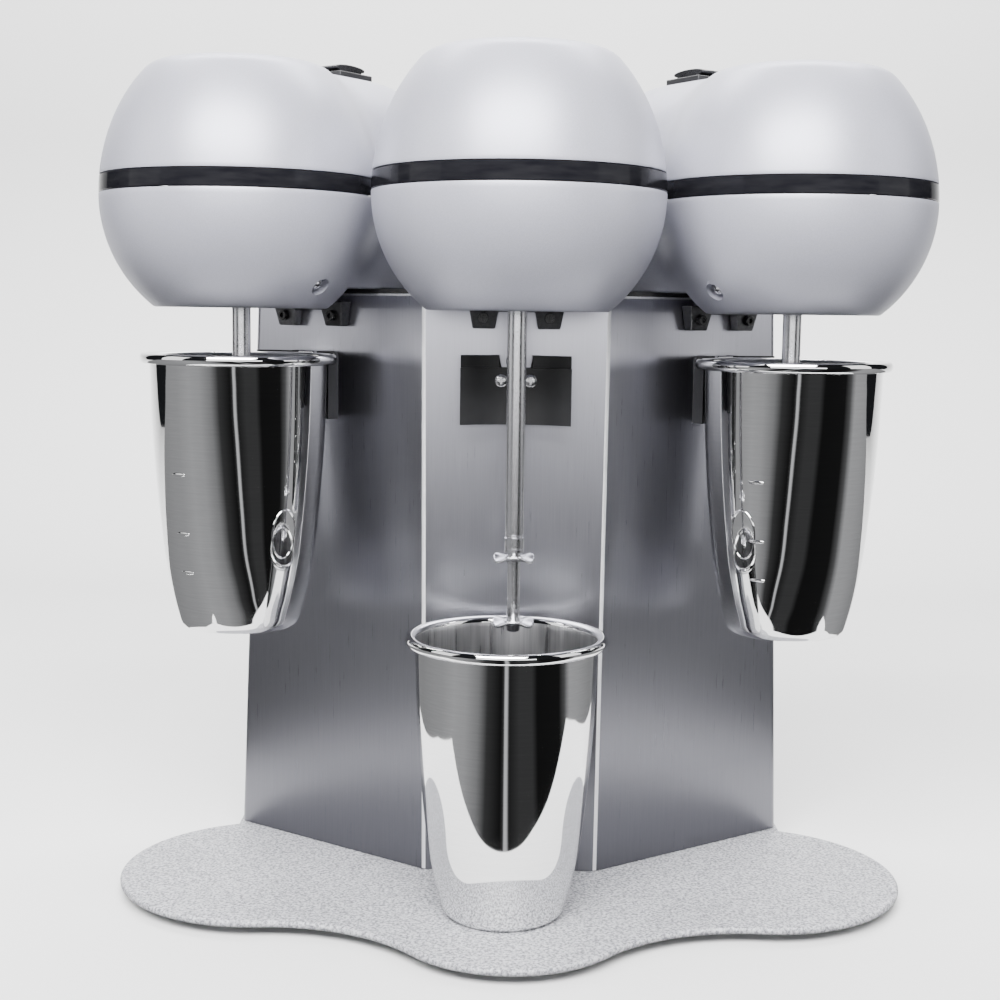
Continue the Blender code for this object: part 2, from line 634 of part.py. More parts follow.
def main():
    clear_scene()
    materials = make_materials()

    def add(name, mesh, material, location=(0.0, 0.0, 0.0), parent=None):
        mesh.materials.clear()
        mesh.materials.append(materials[material])
        mesh.shade_smooth()
        mesh.set_sharp_from_angle(angle=math.radians(35))
        obj = bpy.data.objects.new(name, mesh)
        obj.location = location
        obj.parent = parent
        bpy.context.scene.collection.objects.link(obj)
        return obj

    make_base(add)
    make_column(add)
    make_heads(add)


main()
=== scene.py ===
"""Looks of the drink mixer with three heads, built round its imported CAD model.

Metres, +Z up, the front of the machine faces -Y. Each head's pieces are drawn in the head's own frame, with
the spindle on its Z axis and the column behind it at +Y, and that frame is read from the CAD joints.
"""
import json
import math

import bmesh
import bpy
import numpy as np
from mathutils import Matrix, Vector


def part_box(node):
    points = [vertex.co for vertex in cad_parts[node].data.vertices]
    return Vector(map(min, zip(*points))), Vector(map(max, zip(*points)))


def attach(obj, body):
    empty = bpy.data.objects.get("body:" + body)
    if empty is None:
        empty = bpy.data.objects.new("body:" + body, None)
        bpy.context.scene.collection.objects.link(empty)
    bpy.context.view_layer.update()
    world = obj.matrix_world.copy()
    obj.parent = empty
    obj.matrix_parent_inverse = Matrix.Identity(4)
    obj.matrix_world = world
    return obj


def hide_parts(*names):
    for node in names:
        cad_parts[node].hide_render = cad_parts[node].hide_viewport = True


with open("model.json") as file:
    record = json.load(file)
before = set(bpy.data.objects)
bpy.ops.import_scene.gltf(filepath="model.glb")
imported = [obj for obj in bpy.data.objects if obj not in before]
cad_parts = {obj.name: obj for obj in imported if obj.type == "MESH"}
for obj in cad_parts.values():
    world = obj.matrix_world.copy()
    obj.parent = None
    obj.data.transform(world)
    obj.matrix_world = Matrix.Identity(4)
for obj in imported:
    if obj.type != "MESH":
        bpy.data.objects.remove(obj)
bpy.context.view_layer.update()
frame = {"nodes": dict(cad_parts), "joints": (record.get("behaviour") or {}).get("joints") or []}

MM = 0.001
HEADS = ("left", "centre", "right")
SIDES = (-1, 1)
JOINTS = {joint["name"]: joint for joint in frame["joints"]}
GAP = 0.0003


def heights(node):
    """Lowest and highest point of a CAD node."""
    low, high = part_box(node)
    return low.z, high.z


# Heights and planes of the CAD model
FOOT_TOP, PLATE_TOP = heights("base_plate")
FACE_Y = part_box("column_shell")[0].y
COLUMN_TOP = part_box("column_shell")[1].z
BAND_BOTTOM, BAND_TOP = heights("centre_trim_band")
BALL_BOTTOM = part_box("centre_lower_shell")[0].z
SPINDLE_TO_FACE = FACE_Y - JOINTS["centre_spindle_spin"]["pos_m"][1]
BALL_CENTRE_Z = JOINTS["centre_spindle_spin"]["pos_m"][2]
ROCKER_PIVOT_RISE = 0.0022      # above the crown of the neck
NECK_CROWN = JOINTS["centre_switch_rock"]["pos_m"][2] - ROCKER_PIVOT_RISE


# -------- materials

def new_look(name, metallic, **sockets):
    """An empty look: its material, its Principled shader and its object coordinates."""
    material = bpy.data.materials.new(name)
    material.use_nodes = True
    shader = material.node_tree.nodes["Principled BSDF"]
    shader.inputs["Metallic"].default_value = metallic
    for socket, value in sockets.items():
        shader.inputs[socket.replace("_", " ")].default_value = value
    coordinates = material.node_tree.nodes.new("ShaderNodeTexCoord")
    return material, shader, coordinates.outputs["Object"]


def add_node(material, kind, inputs, operation=None):
    """A new shader node. Each input gets a value, or a link where a socket is given."""
    node = material.node_tree.nodes.new("ShaderNode" + kind)
    if operation:
        node.operation = operation
    for key, value in inputs.items():
        if isinstance(value, bpy.types.NodeSocket):
            material.node_tree.links.new(value, node.inputs[key])
        else:
            node.inputs[key].default_value = value
    return node


def stretched(material, vector, scale):
    return add_node(material, "Mapping", {"Vector": vector, "Scale": scale}).outputs["Vector"]


def noise(material, vector, scale, detail=3.0, roughness=0.5):
    inputs = {"Vector": vector, "Scale": scale, "Detail": detail, "Roughness": roughness}
    return add_node(material, "TexNoise", inputs).outputs["Fac"]


def ranged(material, value, low, high, new_low, new_high):
    inputs = {"Value": value, "From Min": low, "From Max": high, "To Min": new_low, "To Max": new_high}
    return add_node(material, "MapRange", inputs).outputs["Result"]


def added(material, value, share, base):
    """The base with a share of the value added to it."""
    return add_node(material, "Math", {0: value, 1: share, 2: base}, "MULTIPLY_ADD").outputs[0]


def coloured(material, value, dark, light, low=0.3, high=0.7):
    ramp = add_node(material, "ValToRGB", {"Fac": value})
    for stop, position, colour in zip(ramp.color_ramp.elements, (low, high), (dark, light)):
        stop.position = position
        stop.color = (*colour, 1.0)
    return ramp.outputs["Color"]


def bumped(material, shader, value, strength, distance, below=None):
    inputs = {"Strength": strength, "Distance": distance, "Height": value}
    if below is not None:
        inputs["Normal"] = below
    normal = add_node(material, "Bump", inputs).outputs["Normal"]
    material.node_tree.links.new(normal, shader.inputs["Normal"])
    return normal


def finish_look(material, shader, colour, rough):
    material.node_tree.links.new(colour, shader.inputs["Base Color"])
    material.node_tree.links.new(rough, shader.inputs["Roughness"])
    return material


def satin_casing():
    """Satin silver-grey plastic with a very fine flake."""
    material, shader, place = new_look("satin_casing", 0.35, IOR=1.48)
    flake = noise(material, place, 2600, 2.0)
    clouds = noise(material, place, 14, 2.0)
    mix = added(material, clouds, 0.25, flake)
    colour = coloured(material, mix, (0.350, 0.353, 0.412), (0.440, 0.443, 0.508), 0.40, 0.85)
    bumped(material, shader, flake, 0.10, 0.0002)
    return finish_look(material, shader, colour, ranged(material, flake, 0.3, 0.7, 0.40, 0.46))


def gloss_black():
    """Polished black plastic with faint handling marks."""
    material, shader, place = new_look("gloss_black", 0.0, IOR=1.15)
    marks = noise(material, stretched(material, place, (1, 1, 5)), 60, 4.0)
    colour = coloured(material, marks, (0.006, 0.006, 0.008), (0.012, 0.012, 0.014))
    return finish_look(material, shader, colour, ranged(material, marks, 0.3, 0.8, 0.06, 0.16))


def moulded_black(name, dark, light, low, high, grain):
    """Moulded black plastic with a fine eroded grain."""
    material, shader, place = new_look(name, 0.0, IOR=1.46)
    fine = noise(material, place, grain, 2.0)
    worn = noise(material, place, 40, 3.0)
    bumped(material, shader, fine, 0.25, 0.00015)
    rough = ranged(material, fine, 0.3, 0.7, low, high)
    return finish_look(material, shader, coloured(material, worn, dark, light), rough)


def rubber():
    """Black rubber, dusty and matt."""
    material, shader, place = new_look("black_rubber", 0.0, IOR=1.45)
    dust = noise(material, place, 180, 4.0)
    bumped(material, shader, dust, 0.3, 0.0002)
    colour = coloured(material, dust, (0.010, 0.010, 0.011), (0.030, 0.030, 0.031))
    return finish_look(material, shader, colour, ranged(material, dust, 0.3, 0.7, 0.70, 0.88))


# Painted light on the column: the heights, and the colour scales at those heights, for painted shade low down
# and a painted highlight at the top
PAINTED_LIGHT_HEIGHTS = (0.06, 0.35)
PAINTED_LIGHT_SCALES = (0.50, 1.60)


def painted_light_by_height(material, place, colour):
    """Painted light: a colour that is darker at the bottom of the column and lighter at its top, standing in
    for the room's reflections in the steel.
    """
    height = add_node(material, "SeparateXYZ", {0: place}).outputs["Z"]
    painted_light_scale = ranged(material, height, *PAINTED_LIGHT_HEIGHTS, *PAINTED_LIGHT_SCALES)
    return add_node(material, "VectorMath", {0: colour, "Scale": painted_light_scale}, "SCALE").outputs[0]


def steel(name, dark, light, low, high, stretch, grain, strength, clouds, with_painted_light=False):
    """Bare metal whose brush marks run along the axis with the smallest stretch.

    Low and high are the roughness, strength is how deep the marks are, and clouds how much stains show.
    """
    material, shader, place = new_look(name, 1.0)
    lines = noise(material, stretched(material, place, stretch), grain, 3.0, 0.6)
    stains = noise(material, place, 16, 3.0)
    blend = added(material, stains, clouds, lines)
    if strength:
        bumped(material, shader, lines, strength, 0.00005)
    middle = 0.5 + 0.5 * clouds
    colour = coloured(material, blend, dark, light, middle - 0.25, middle + 0.25)
    rough = ranged(material, blend, middle - 0.25, middle + 0.25, low, high)
    # painted light: the colour is darker towards the bottom of the column and lighter towards its top
    if with_painted_light:
        colour = painted_light_by_height(material, place, colour)
    return finish_look(material, shader, colour, rough)


def powder_coat():
    """Light grey speckled powder coat with an orange-peel surface."""
    material, shader, place = new_look("speckled_powder_coat", 0.0, IOR=1.50)
    specks = noise(material, place, 620, 3.0, 0.65)
    peel = noise(material, place, 420, 2.0)
    colour = coloured(material, specks, (0.14, 0.142, 0.158), (0.52, 0.522, 0.548), 0.38, 0.62)
    first = bumped(material, shader, peel, 0.45, 0.0004)
    bumped(material, shader, specks, 0.25, 0.0002, first)
    return finish_look(material, shader, colour, ranged(material, specks, 0.35, 0.65, 0.62, 0.44))


def windings():
    """Varnished laminations and copper."""
    material, shader, place = new_look("varnished_copper", 0.7)
    layers = noise(material, stretched(material, place, (1, 1, 40)), 60, 2.0)
    bumped(material, shader, layers, 0.4, 0.0004)
    colour = coloured(material, layers, (0.16, 0.07, 0.035), (0.42, 0.22, 0.11))
    return finish_look(material, shader, colour, ranged(material, layers, 0.3, 0.7, 0.35, 0.5))


LOOKS = {
    "casing": (satin_casing(), "head_casing"),
    "trim": (gloss_black(), "trim"),
    "nylon": (moulded_black("black_nylon", (0.011, 0.011, 0.012), (0.020, 0.020, 0.022), 0.36, 0.50, 1400),
              "black_nylon"),
    "key": (moulded_black("switch_key", (0.008, 0.008, 0.009), (0.016, 0.016, 0.018), 0.24, 0.34, 1800),
            "switch_key"),
    "foot": (rubber(), "foot_rubber"),
    # the column's colour carries painted light, darker low down and lighter at the top
    "column": (steel("brushed_column", (0.275, 0.275, 0.305), (0.305, 0.305, 0.338), 0.27, 0.31,
                     (1, 1, 0.02), 1500, 0.005, 0.12, with_painted_light=True), "column_steel"),
    # painted highlight: a bright colour on the folds and the top edge that stands in for the light they catch
    "fold_highlight": (steel("painted_fold_highlight", (0.78, 0.78, 0.80), (0.90, 0.90, 0.92), 0.50, 0.60,
                   (1, 1, 0.1), 900, 0.02, 0.1), "column_steel"),
    "spindle": (steel("ground_steel", (0.50, 0.50, 0.52), (0.60, 0.60, 0.62), 0.24, 0.28,
                      (1, 1, 8), 900, 0.0, 0.1), "spindle_steel"),
    "cup": (steel("polished_cup", (0.72, 0.72, 0.725), (0.79, 0.79, 0.79), 0.03, 0.055,
                  (1, 1, 18), 60, 0.004, 0.1), "polished_cup"),
    "cup_inside": (steel("brushed_cup_inside", (0.30, 0.30, 0.31), (0.62, 0.62, 0.63), 0.24, 0.36,
                         (1, 1, 0.04), 260, 0.05, 0.1), "polished_cup"),
    "lug": (steel("satin_lug", (0.10, 0.10, 0.105), (0.16, 0.16, 0.165), 0.30, 0.40,
                  (1, 1, 1), 500, 0.05, 0.1), "black_nylon"),
    "casting": (steel("cast_alloy", (0.30, 0.30, 0.30), (0.50, 0.50, 0.50), 0.4, 0.55,
                      (1, 1, 1), 300, 0.4, 0.6), "bearing_alloy"),
    "powder": (powder_coat(), "powder_coat"),
    "copper": (windings(), "motor_core"),
}


# -------- helpers

def head_place(head):
    """A head's frame: spindle on Z, column at +Y."""
    x, y, _ = JOINTS[head + "_spindle_spin"]["pos_m"]
    across = JOINTS[head + "_switch_rock"]["axis"]
    turn = math.atan2(across[1], across[0])
    return Matrix.Translation((x, y, 0.0)) @ Matrix.Rotation(turn, 4, "Z")


def moved(x=0.0, y=0.0, z=0.0):
    return Matrix.Translation((x, y, z))


def add_object(name, data):
    obj = bpy.data.objects.new(name, data)
    bpy.context.scene.collection.objects.link(obj)
    return obj


def piece(name, mesh, look, body, place=None, stands_for=(), smooth=40, second_look=None, flat=False):
    """Adds a piece of the object, at its place in the row frame, on one of the CAD bodies.

    With flat, the normals of its large faces are kept true beside the rounded edges.
    """
    material, slot = LOOKS[look]
    indices = [face.material_index for face in mesh.polygons] if second_look else None
    place = place if place is not None else Matrix.Identity(4)
    mesh = mesh.copy()
    mesh.transform(place.to_3x3().to_4x4())
    mesh.materials.clear()
    mesh.materials.append(material)
    if second_look:
        mesh.materials.append(LOOKS[second_look][0])
        mesh.polygons.foreach_set("material_index", indices)
    mesh.shade_smooth()
    mesh.set_sharp_from_angle(angle=math.radians(smooth))
    obj = add_object(name, mesh)
    obj.location = place.translation
    if flat:
        true_faces = obj.modifiers.new("true_faces", "WEIGHTED_NORMAL")
        true_faces.keep_sharp = True
    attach(obj, body)
    if stands_for:
        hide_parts(*stands_for)
    return obj


def mesh_from(bm, name):
    mesh = bpy.data.meshes.new(name)
    bm.to_mesh(mesh)
    bm.free()
    return mesh


def finish_mesh(bm, name):
    bmesh.ops.recalc_face_normals(bm, faces=bm.faces[:])
    return mesh_from(bm, name)


def add_grid(bm, rows):
    """Faces between rows of points that all have the same number of points."""
    made = [[bm.verts.new(point) for point in row] for row in rows]
    for row, following in zip(made, made[1:]):
        for i in range(len(row) - 1):
            bm.faces.new((row[i], row[i + 1], following[i + 1], following[i]))


def skinned(rings, close_start=False, close_end=False, loop=False):
    """Faces through rings of points, where a ring of one point is a tip.

    With loop, the last ring meets the first.
    """
    bm = bmesh.new()
    made = [[bm.verts.new(point) for point in ring] for ring in rings]
    pairs = list(zip(made, made[1:]))
    if loop:
        pairs.append((made[-1], made[0]))
    for ring, following in pairs:
        count = max(len(ring), len(following))
        if count == 1:
            continue
        for i in range(count):
            j = (i + 1) % count
            corners = [ring[i % len(ring)], ring[j % len(ring)]]
            corners += [following[j % len(following)], following[i % len(following)]]
            bm.faces.new(list(dict.fromkeys(corners)))
    if close_start:
        bm.faces.new(made[0])
    if close_end:
        bm.faces.new(made[-1])
    return bm


def circle(radius, height, segments):
    if radius < 1e-6:
        return [(0.0, 0.0, height)]
    angles = [2 * math.pi * i / segments for i in range(segments)]
    return [(radius * math.cos(a), radius * math.sin(a), height) for a in angles]


def turned(name, profile, segments=64):
    """A turned piece about Z from a closed loop of (radius, height) points."""
    return finish_mesh(skinned([circle(r, z, segments) for r, z in profile], loop=True), name)


def extruded(name, outline, bottom, top):
    bm = bmesh.new()
    low = [bm.verts.new((x, y, bottom)) for x, y in outline]
    high = [bm.verts.new((x, y, top)) for x, y in outline]
    bm.faces.new(low)
    bm.faces.new(high)
    for i in range(len(outline)):
        j = (i + 1) % len(outline)
        bm.faces.new((low[i], low[j], high[j], high[i]))
    return finish_mesh(bm, name)


def turn_upright(mesh):
    """Turns a plate drawn as (x, z) and extruded along Z so that its thickness runs along Y."""
    mesh.transform(Matrix(((1, 0, 0, 0), (0, 0, 1, 0), (0, 1, 0, 0), (0, 0, 0, 1))))
    mesh.flip_normals()
    return mesh


def turn_sideways(mesh):
    """Turns a plate drawn as (y, z) and extruded along Z so that its thickness runs along X."""
    mesh.transform(Matrix(((0, 0, 1, 0), (1, 0, 0, 0), (0, 1, 0, 0), (0, 0, 0, 1))))
    return mesh


def box(name, centre, size):
    bm = bmesh.new()
    bmesh.ops.create_cube(bm, size=1.0)
    bmesh.ops.scale(bm, vec=size, verts=bm.verts)
    bmesh.ops.translate(bm, vec=centre, verts=bm.verts)
    return finish_mesh(bm, name)


def modified(mesh, kind, **settings):
    """The mesh with a modifier applied."""
    obj = add_object("modified", mesh)
    modifier = obj.modifiers.new("modifier", kind)
    for setting, value in settings.items():
        setattr(modifier, setting, value)
    bpy.context.view_layer.update()
    result = bpy.data.meshes.new_from_object(obj.evaluated_get(bpy.context.evaluated_depsgraph_get()))
    bpy.data.objects.remove(obj)
    return result


def combined(mesh, other, operation):
    tool = add_object("tool", other)
    result = modified(mesh, "BOOLEAN", operation=operation, object=tool)
    bpy.data.objects.remove(tool)
    return result


def softened(mesh, width, segments=2, angle=40):
    """The mesh with its sharp edges rounded."""
    return modified(mesh, "BEVEL", width=width, segments=segments, limit_method="ANGLE",
                    angle_limit=math.radians(angle), harden_normals=False)


def with_thickness(mesh, thickness, even=False):
    """Gives an open skin whose faces point outwards a wall on its inner side."""
    return modified(mesh, "SOLIDIFY", thickness=thickness, offset=-1.0, use_even_offset=even)


def mirrored(half):
    """A whole outline from its right half, which runs away from the middle."""
    return [(-x, y) for x, y in reversed(half)] + half


def arc(centre, radius, start, end, steps):
    angles = [start + (end - start) * i / steps for i in range(steps + 1)]
    return [(centre[0] + radius * math.cos(a), centre[1] + radius * math.sin(a)) for a in angles]


def smooth_line(points, steps):
    """A smooth curve through the points, with some steps between each two."""
    data = [np.array(p, float) for p in points]
    padded = [2 * data[0] - data[1], *data, 2 * data[-1] - data[-2]]
    curve = []
    for a, b, c, d in zip(padded, padded[1:], padded[2:], padded[3:]):
        for t in np.linspace(0, 1, steps, endpoint=False):
            value = 2 * b + (c - a) * t + (2 * a - 5 * b + 4 * c - d) * t ** 2
            value = value + (3 * b - a - 3 * c + d) * t ** 3
            curve.append(tuple(value / 2))
    return curve + [tuple(data[-1])]


# -------- head casings

# Lengths in millimetres, heights from the ball's centre
BALL_RADIUS = 77.3
BALL_TOP_SEMI_AXIS = 92.5
CAP_HEIGHT = 73.4
CAP_RADIUS = 47.0
CAP_CROWN = 1.0
CAP_BLEND = 5.0
NECK_START = 8.0
NECK_ROOT = 10.0
NECK_RISE_END = 52.0
NECK_WIDEST = 78.0
NECK_HIGHEST = 85.0
NECK_END = 132.0
NECK_HALF_WIDTH = 58.0
NECK_HEIGHT = 1000 * (NECK_CROWN - BALL_CENTRE_Z)
NECK_FOOT_DEPTH = 48.4
NECK_FOOT_RATIO = 0.86
NECK_ROOT_TAPER = 4.0
NECK_ROOT_DROP = 8.0
NECK_POWER = 2.5
CREASE_BLEND = 9.0
CASING = 2.5
SEAM = 0.45


def smooth_min(a, b, width):
    near = np.maximum(width - np.abs(a - b), 0.0) / width
    return np.minimum(a, b) - near ** 2 * width / 4


def neck_depth(x, y, z):
    """Below zero inside the neck: a squared arch that narrows and drops to a blunt rear end."""
    behind = np.clip((y - NECK_WIDEST) / (NECK_END - NECK_WIDEST), 0.0, 1.0)
    before = np.clip((NECK_WIDEST - y) / (NECK_WIDEST - NECK_ROOT), 0.0, 2.0)
    width = NECK_HALF_WIDTH * (1 - behind ** 2.3) ** (1 / 2.3) - NECK_ROOT_TAPER * before ** 1.5
    dropping = np.clip((y - NECK_HIGHEST) / (NECK_END + 1.0 - NECK_HIGHEST), 0.0, 1.0)
    rising = np.clip((NECK_RISE_END - y) / (NECK_RISE_END - NECK_ROOT), 0.0, 2.0)
    height = np.maximum(NECK_HEIGHT * (1 - dropping ** 4) ** 0.25 - NECK_ROOT_DROP * rising ** 1.5, 1.0)
    foot = 1 - (1 - NECK_FOOT_RATIO) * np.clip(-z / NECK_FOOT_DEPTH, 0.0, 1.0) ** 1.4
    width = np.maximum(width * foot, 1.0)
    power = NECK_POWER
    arch = ((np.abs(x) / width) ** power + (np.maximum(z, 0.0) / height) ** power) ** (1 / power)
    depth = (arch - 1) * width
    return np.maximum(np.maximum(depth, NECK_START - y), y - NECK_END)


def casing_depth(points):
    """Below zero inside the head's casing; the neck meets the ball in a soft crease."""
    x, y, z = np.moveaxis(points, -1, 0)
    across = np.hypot(x, y)
    semi_axis = np.where(z > 0, BALL_TOP_SEMI_AXIS, BALL_RADIUS)
    ball = (np.sqrt((across / BALL_RADIUS) ** 2 + (z / semi_axis) ** 2) - 1) * BALL_RADIUS
    cap = z - CAP_HEIGHT - CAP_CROWN * (1 - np.minimum(across / CAP_RADIUS, 1.5) ** 2)
    ball = -smooth_min(-ball, -cap, CAP_BLEND)
    return smooth_min(ball, neck_depth(x, y, z), CREASE_BLEND), ball


# Directions round the spindle, closer together where the neck is. Zero is the front.
BEARINGS = np.radians(np.concatenate([np.arange(-118, 118, 2.0), np.arange(118, 242, 1.0)]))


def casing_ring(height, rise=0.0, inset=0.0, ball_only=False):
    """Points of the casing seen from a point on the spindle's axis, on a cone that rises at an angle."""
    flat = math.cos(rise)
    directions = np.stack([np.sin(BEARINGS) * flat, -np.cos(BEARINGS) * flat,
                           np.full(len(BEARINGS), math.sin(rise))], axis=-1)
    origin = np.array([0.0, 0.0, height])
    near, far = np.zeros(len(BEARINGS)), np.full(len(BEARINGS), 175.0)
    for _ in range(36):
        middle = (near + far) / 2
        casing, ball = casing_depth(origin + middle[:, None] * directions)
        outside = (ball if ball_only else casing) > 0
        far = np.where(outside, middle, far)
        near = np.where(outside, near, middle)
    points = origin + (near - inset)[:, None] * directions
    points[:, 2] += 1000 * BALL_CENTRE_Z
    return [tuple(point * MM) for point in points]


def point_outwards(bm):
    """Turns the faces of a skin away from the ball's centre."""
    bm.normal_update()
    total = sum(f.normal.dot(f.calc_center_median() - Vector((0, 0, BALL_CENTRE_Z))) * f.calc_area()
                for f in bm.faces)
    if total < 0:
        bmesh.ops.reverse_faces(bm, faces=bm.faces[:])
    return bm


def wall_of(name, rings):
    """The casing's wall behind an open skin through the rings."""
    return with_thickness(mesh_from(point_outwards(skinned(rings)), name), CASING * MM)


def relative(height):
    """Millimetres above the ball's centre."""
    return 1000 * (height - BALL_CENTRE_Z)


SWITCH_BODY = (0.0175, 0.0235)      # across the neck and along it
SWITCH_OPENING_DEPTH = 0.0300


def upper_casing():
    """Upper half of the ball and the neck, with an opening for the switch."""
    low = relative(BAND_TOP + GAP)
    rings = [casing_ring(low, inset=SEAM), casing_ring(low + 0.12, inset=0.12), casing_ring(low + SEAM)]
    steps = 66
    rings += [casing_ring(low + SEAM, math.pi / 2 * i / steps) for i in range(1, steps)]
    rings.append([(0.0, 0.0, (CAP_HEIGHT + CAP_CROWN) * MM + BALL_CENTRE_Z)])
    behind = JOINTS["centre_switch_rock"]["pos_m"][1] - JOINTS["centre_spindle_spin"]["pos_m"][1]
    size = (SWITCH_BODY[0] + 2 * GAP, SWITCH_BODY[1] + 2 * GAP, SWITCH_OPENING_DEPTH)
    cutout = box("switch_cutout", (0.0, behind, NECK_CROWN), size)
    return combined(wall_of("upper_casing", rings), cutout, "DIFFERENCE")


def band():
    low, high, edge = relative(BAND_BOTTOM), relative(BAND_TOP), 0.4
    rings = [casing_ring(low, inset=edge), casing_ring(low + edge), casing_ring((low + high) / 2)]
    rings += [casing_ring(high - edge), casing_ring(high, inset=edge)]
    return wall_of("band", rings)


WELL_RADIUS = 0.0056
WELL_DEPTH = 0.0044
WELL_ELEVATION = math.radians(-39.4)
SPINDLE_HOLE = 0.0064


def well_place(side):
    """Frame of a recessed screw on the side of a ball: Z points out of the casing."""
    out = Vector((side * math.cos(WELL_ELEVATION), 0.0, math.sin(WELL_ELEVATION)))
    turn = Vector((0, 0, 1)).rotation_difference(out).to_matrix().to_4x4()
    surface = Vector((0, 0, BALL_CENTRE_Z)) + out * BALL_RADIUS * MM
    return Matrix.Translation(surface) @ turn


def outermost(ring, other):
    return [max(pair, key=lambda point: math.hypot(point[0], point[1])) for pair in zip(ring, other)]


def lower_casing():
    """Ball and neck down to the neck's flat underside, then the ball alone; a screw well on each side."""
    high = relative(BAND_BOTTOM - GAP)
    neck_low = relative(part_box("column_gasket")[1].z + GAP)
    ball_low = relative(BALL_BOTTOM)
    rings = [casing_ring(high, inset=SEAM), casing_ring(high - 0.12, inset=0.12)]
    rings += [casing_ring(level) for level in np.linspace(high - SEAM, neck_low + 1.0, 19)]
    for lift, inset in ((0.6, 0.08), (0.25, 0.35), (0.0, 1.0)):
        level = neck_low + lift
        rings.append(outermost(casing_ring(level, inset=inset), casing_ring(level, ball_only=True)))
    rings += [casing_ring(level, ball_only=True) for level in np.linspace(neck_low, ball_low + 0.9, 8)]
    rings.append(casing_ring(ball_low + 0.25, ball_only=True, inset=0.2))
    rings.append(casing_ring(ball_low, ball_only=True, inset=1.0))
    edge = math.hypot(rings[-1][0][0], rings[-1][0][1])
    for radius in (0.034, 0.020, SPINDLE_HOLE):
        rings.append([(x * radius / edge, y * radius / edge, z) for x, y, z in rings[-1]])
        edge = radius
    bm = skinned(rings, close_start=True, close_end=True)
    bmesh.ops.remove_doubles(bm, verts=bm.verts[:], dist=1e-6)
    mesh = finish_mesh(bm, "lower_casing")
    for side in SIDES:
        drill = cylinder(WELL_RADIUS, -WELL_DEPTH, 0.012)
        drill.transform(well_place(side))
        mesh = combined(mesh, drill, "DIFFERENCE")
    return with_thickness(without_caps(mesh, BAND_BOTTOM - GAP, BALL_BOTTOM), CASING * MM)


def without_caps(mesh, high, low):
    """Opens a closed skin at its flat top and round the spindle."""
    bm = bmesh.new()
    bm.from_mesh(mesh)
    caps = []
    for face in bm.faces:
        centre = face.calc_center_median()
        flat = abs(face.normal.z) > 0.99
        round_spindle = all(math.hypot(v.co.x, v.co.y) < SPINDLE_HOLE + 1e-5 for v in face.verts)
        if flat and (abs(centre.z - high) < 1e-6 or (round_spindle and abs(centre.z - low) < 1e-4)):
            caps.append(face)
    bmesh.ops.delete(bm, geom=caps, context="FACES")
    bm.to_mesh(mesh)
    bm.free()
    return mesh


def cylinder(radius, low, high, segments=40):
    return turned("cylinder", [(0.0, low), (radius, low), (radius, high), (0.0, high)], segments)


SUNK = 0.0004      # how far a screw's head goes below the surface that it stands on


def pan_screw(radius, height, recess):
    """Pan-head screw with a cross recess, standing on z = 0."""
    crown = [(radius * math.cos(a), height * math.sin(a) ** 0.8) for a in np.linspace(0.12, math.pi / 2, 9)]
    crown[-1] = (0.0, height)
    head = turned("screw", [(0.0, -SUNK), (radius, -SUNK), *crown], 36)
    for length, width in ((recess, recess * 0.28), (recess * 0.28, recess)):
        slot = box("slot", (0.0, 0.0, height), (length, width, height * 1.1))
        head = combined(head, slot, "DIFFERENCE")
    return head


def socket_screw(radius, height, key):
    """Socket-head screw, standing on z = 0."""
    edge = 0.0003
    profile = [(0.0, -SUNK), (radius, -SUNK), (radius, height - edge), (radius - edge, height), (0.0, height)]
    return combined(turned("screw", profile, 36), cylinder(key, height * 0.45, height * 1.5, 6), "DIFFERENCE")


# Radius, height and recess of each kind of screw
WELL_SCREW = (0.0044, 0.0026, 0.0040)
LUG_SCREW = (0.0031, 0.0024, 0.0017)
REST_SCREW = (0.0038, 0.0015, 0.0042)
REAR_SCREW = (0.0032, 0.0018, 0.0030)


def facing_front(x, y, z):
    """Place of a piece on a plane that faces -Y."""
    return moved(x, y, z) @ Matrix.Rotation(math.pi / 2, 4, "X")


def facing_rear(x, y, z):
    """Place of a piece on a plane that faces +Y."""
    return moved(x, y, z) @ Matrix.Rotation(-math.pi / 2, 4, "X")


# -------- pieces on the column's faces

REST_HALF_WIDTH = 0.031
REST_BOSS_HALF_WIDTH = 0.014
REST_BACK_RADIUS = 0.0584
REST_WALL_RADIUS = 0.0512
REST_RIM_RADIUS = 0.0557
NOTCH_HALF_WIDTH = 0.0094
CUP_TO_FACE = 0.0656
REST_BOTTOM, REST_TOP = heights("centre_cup_rest")
RIM_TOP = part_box("left_mixing_cup")[1].z
LEDGE_TOP = RIM_TOP - 0.0060
REST_SCREW_X = 0.0083
REST_SCREW_Z = PLATE_TOP + 0.2907


def rest_layer(hollow_radius, bottom, top):
    """One layer of the cup rest: a crescent round the hung cup, with a boss that meets the column."""
    face = SPINDLE_TO_FACE - GAP
    cup_axis = (0.0, SPINDLE_TO_FACE - CUP_TO_FACE)
    swing = math.asin(REST_HALF_WIDTH / hollow_radius)
    front = arc(cup_axis, hollow_radius, math.pi / 2 - swing, math.pi / 2 + swing, 40)
    tip = math.asin(REST_HALF_WIDTH / REST_BACK_RADIUS)
    root = math.asin(REST_BOSS_HALF_WIDTH / REST_BACK_RADIUS)
    left = arc(cup_axis, REST_BACK_RADIUS, math.pi / 2 + tip, math.pi / 2 + root, 12)
    right = [(-x, y) for x, y in reversed(left)]
    boss = [(-REST_BOSS_HALF_WIDTH, face), (REST_BOSS_HALF_WIDTH, face)]
    return extruded("rest", front + left + boss + right, bottom, top)


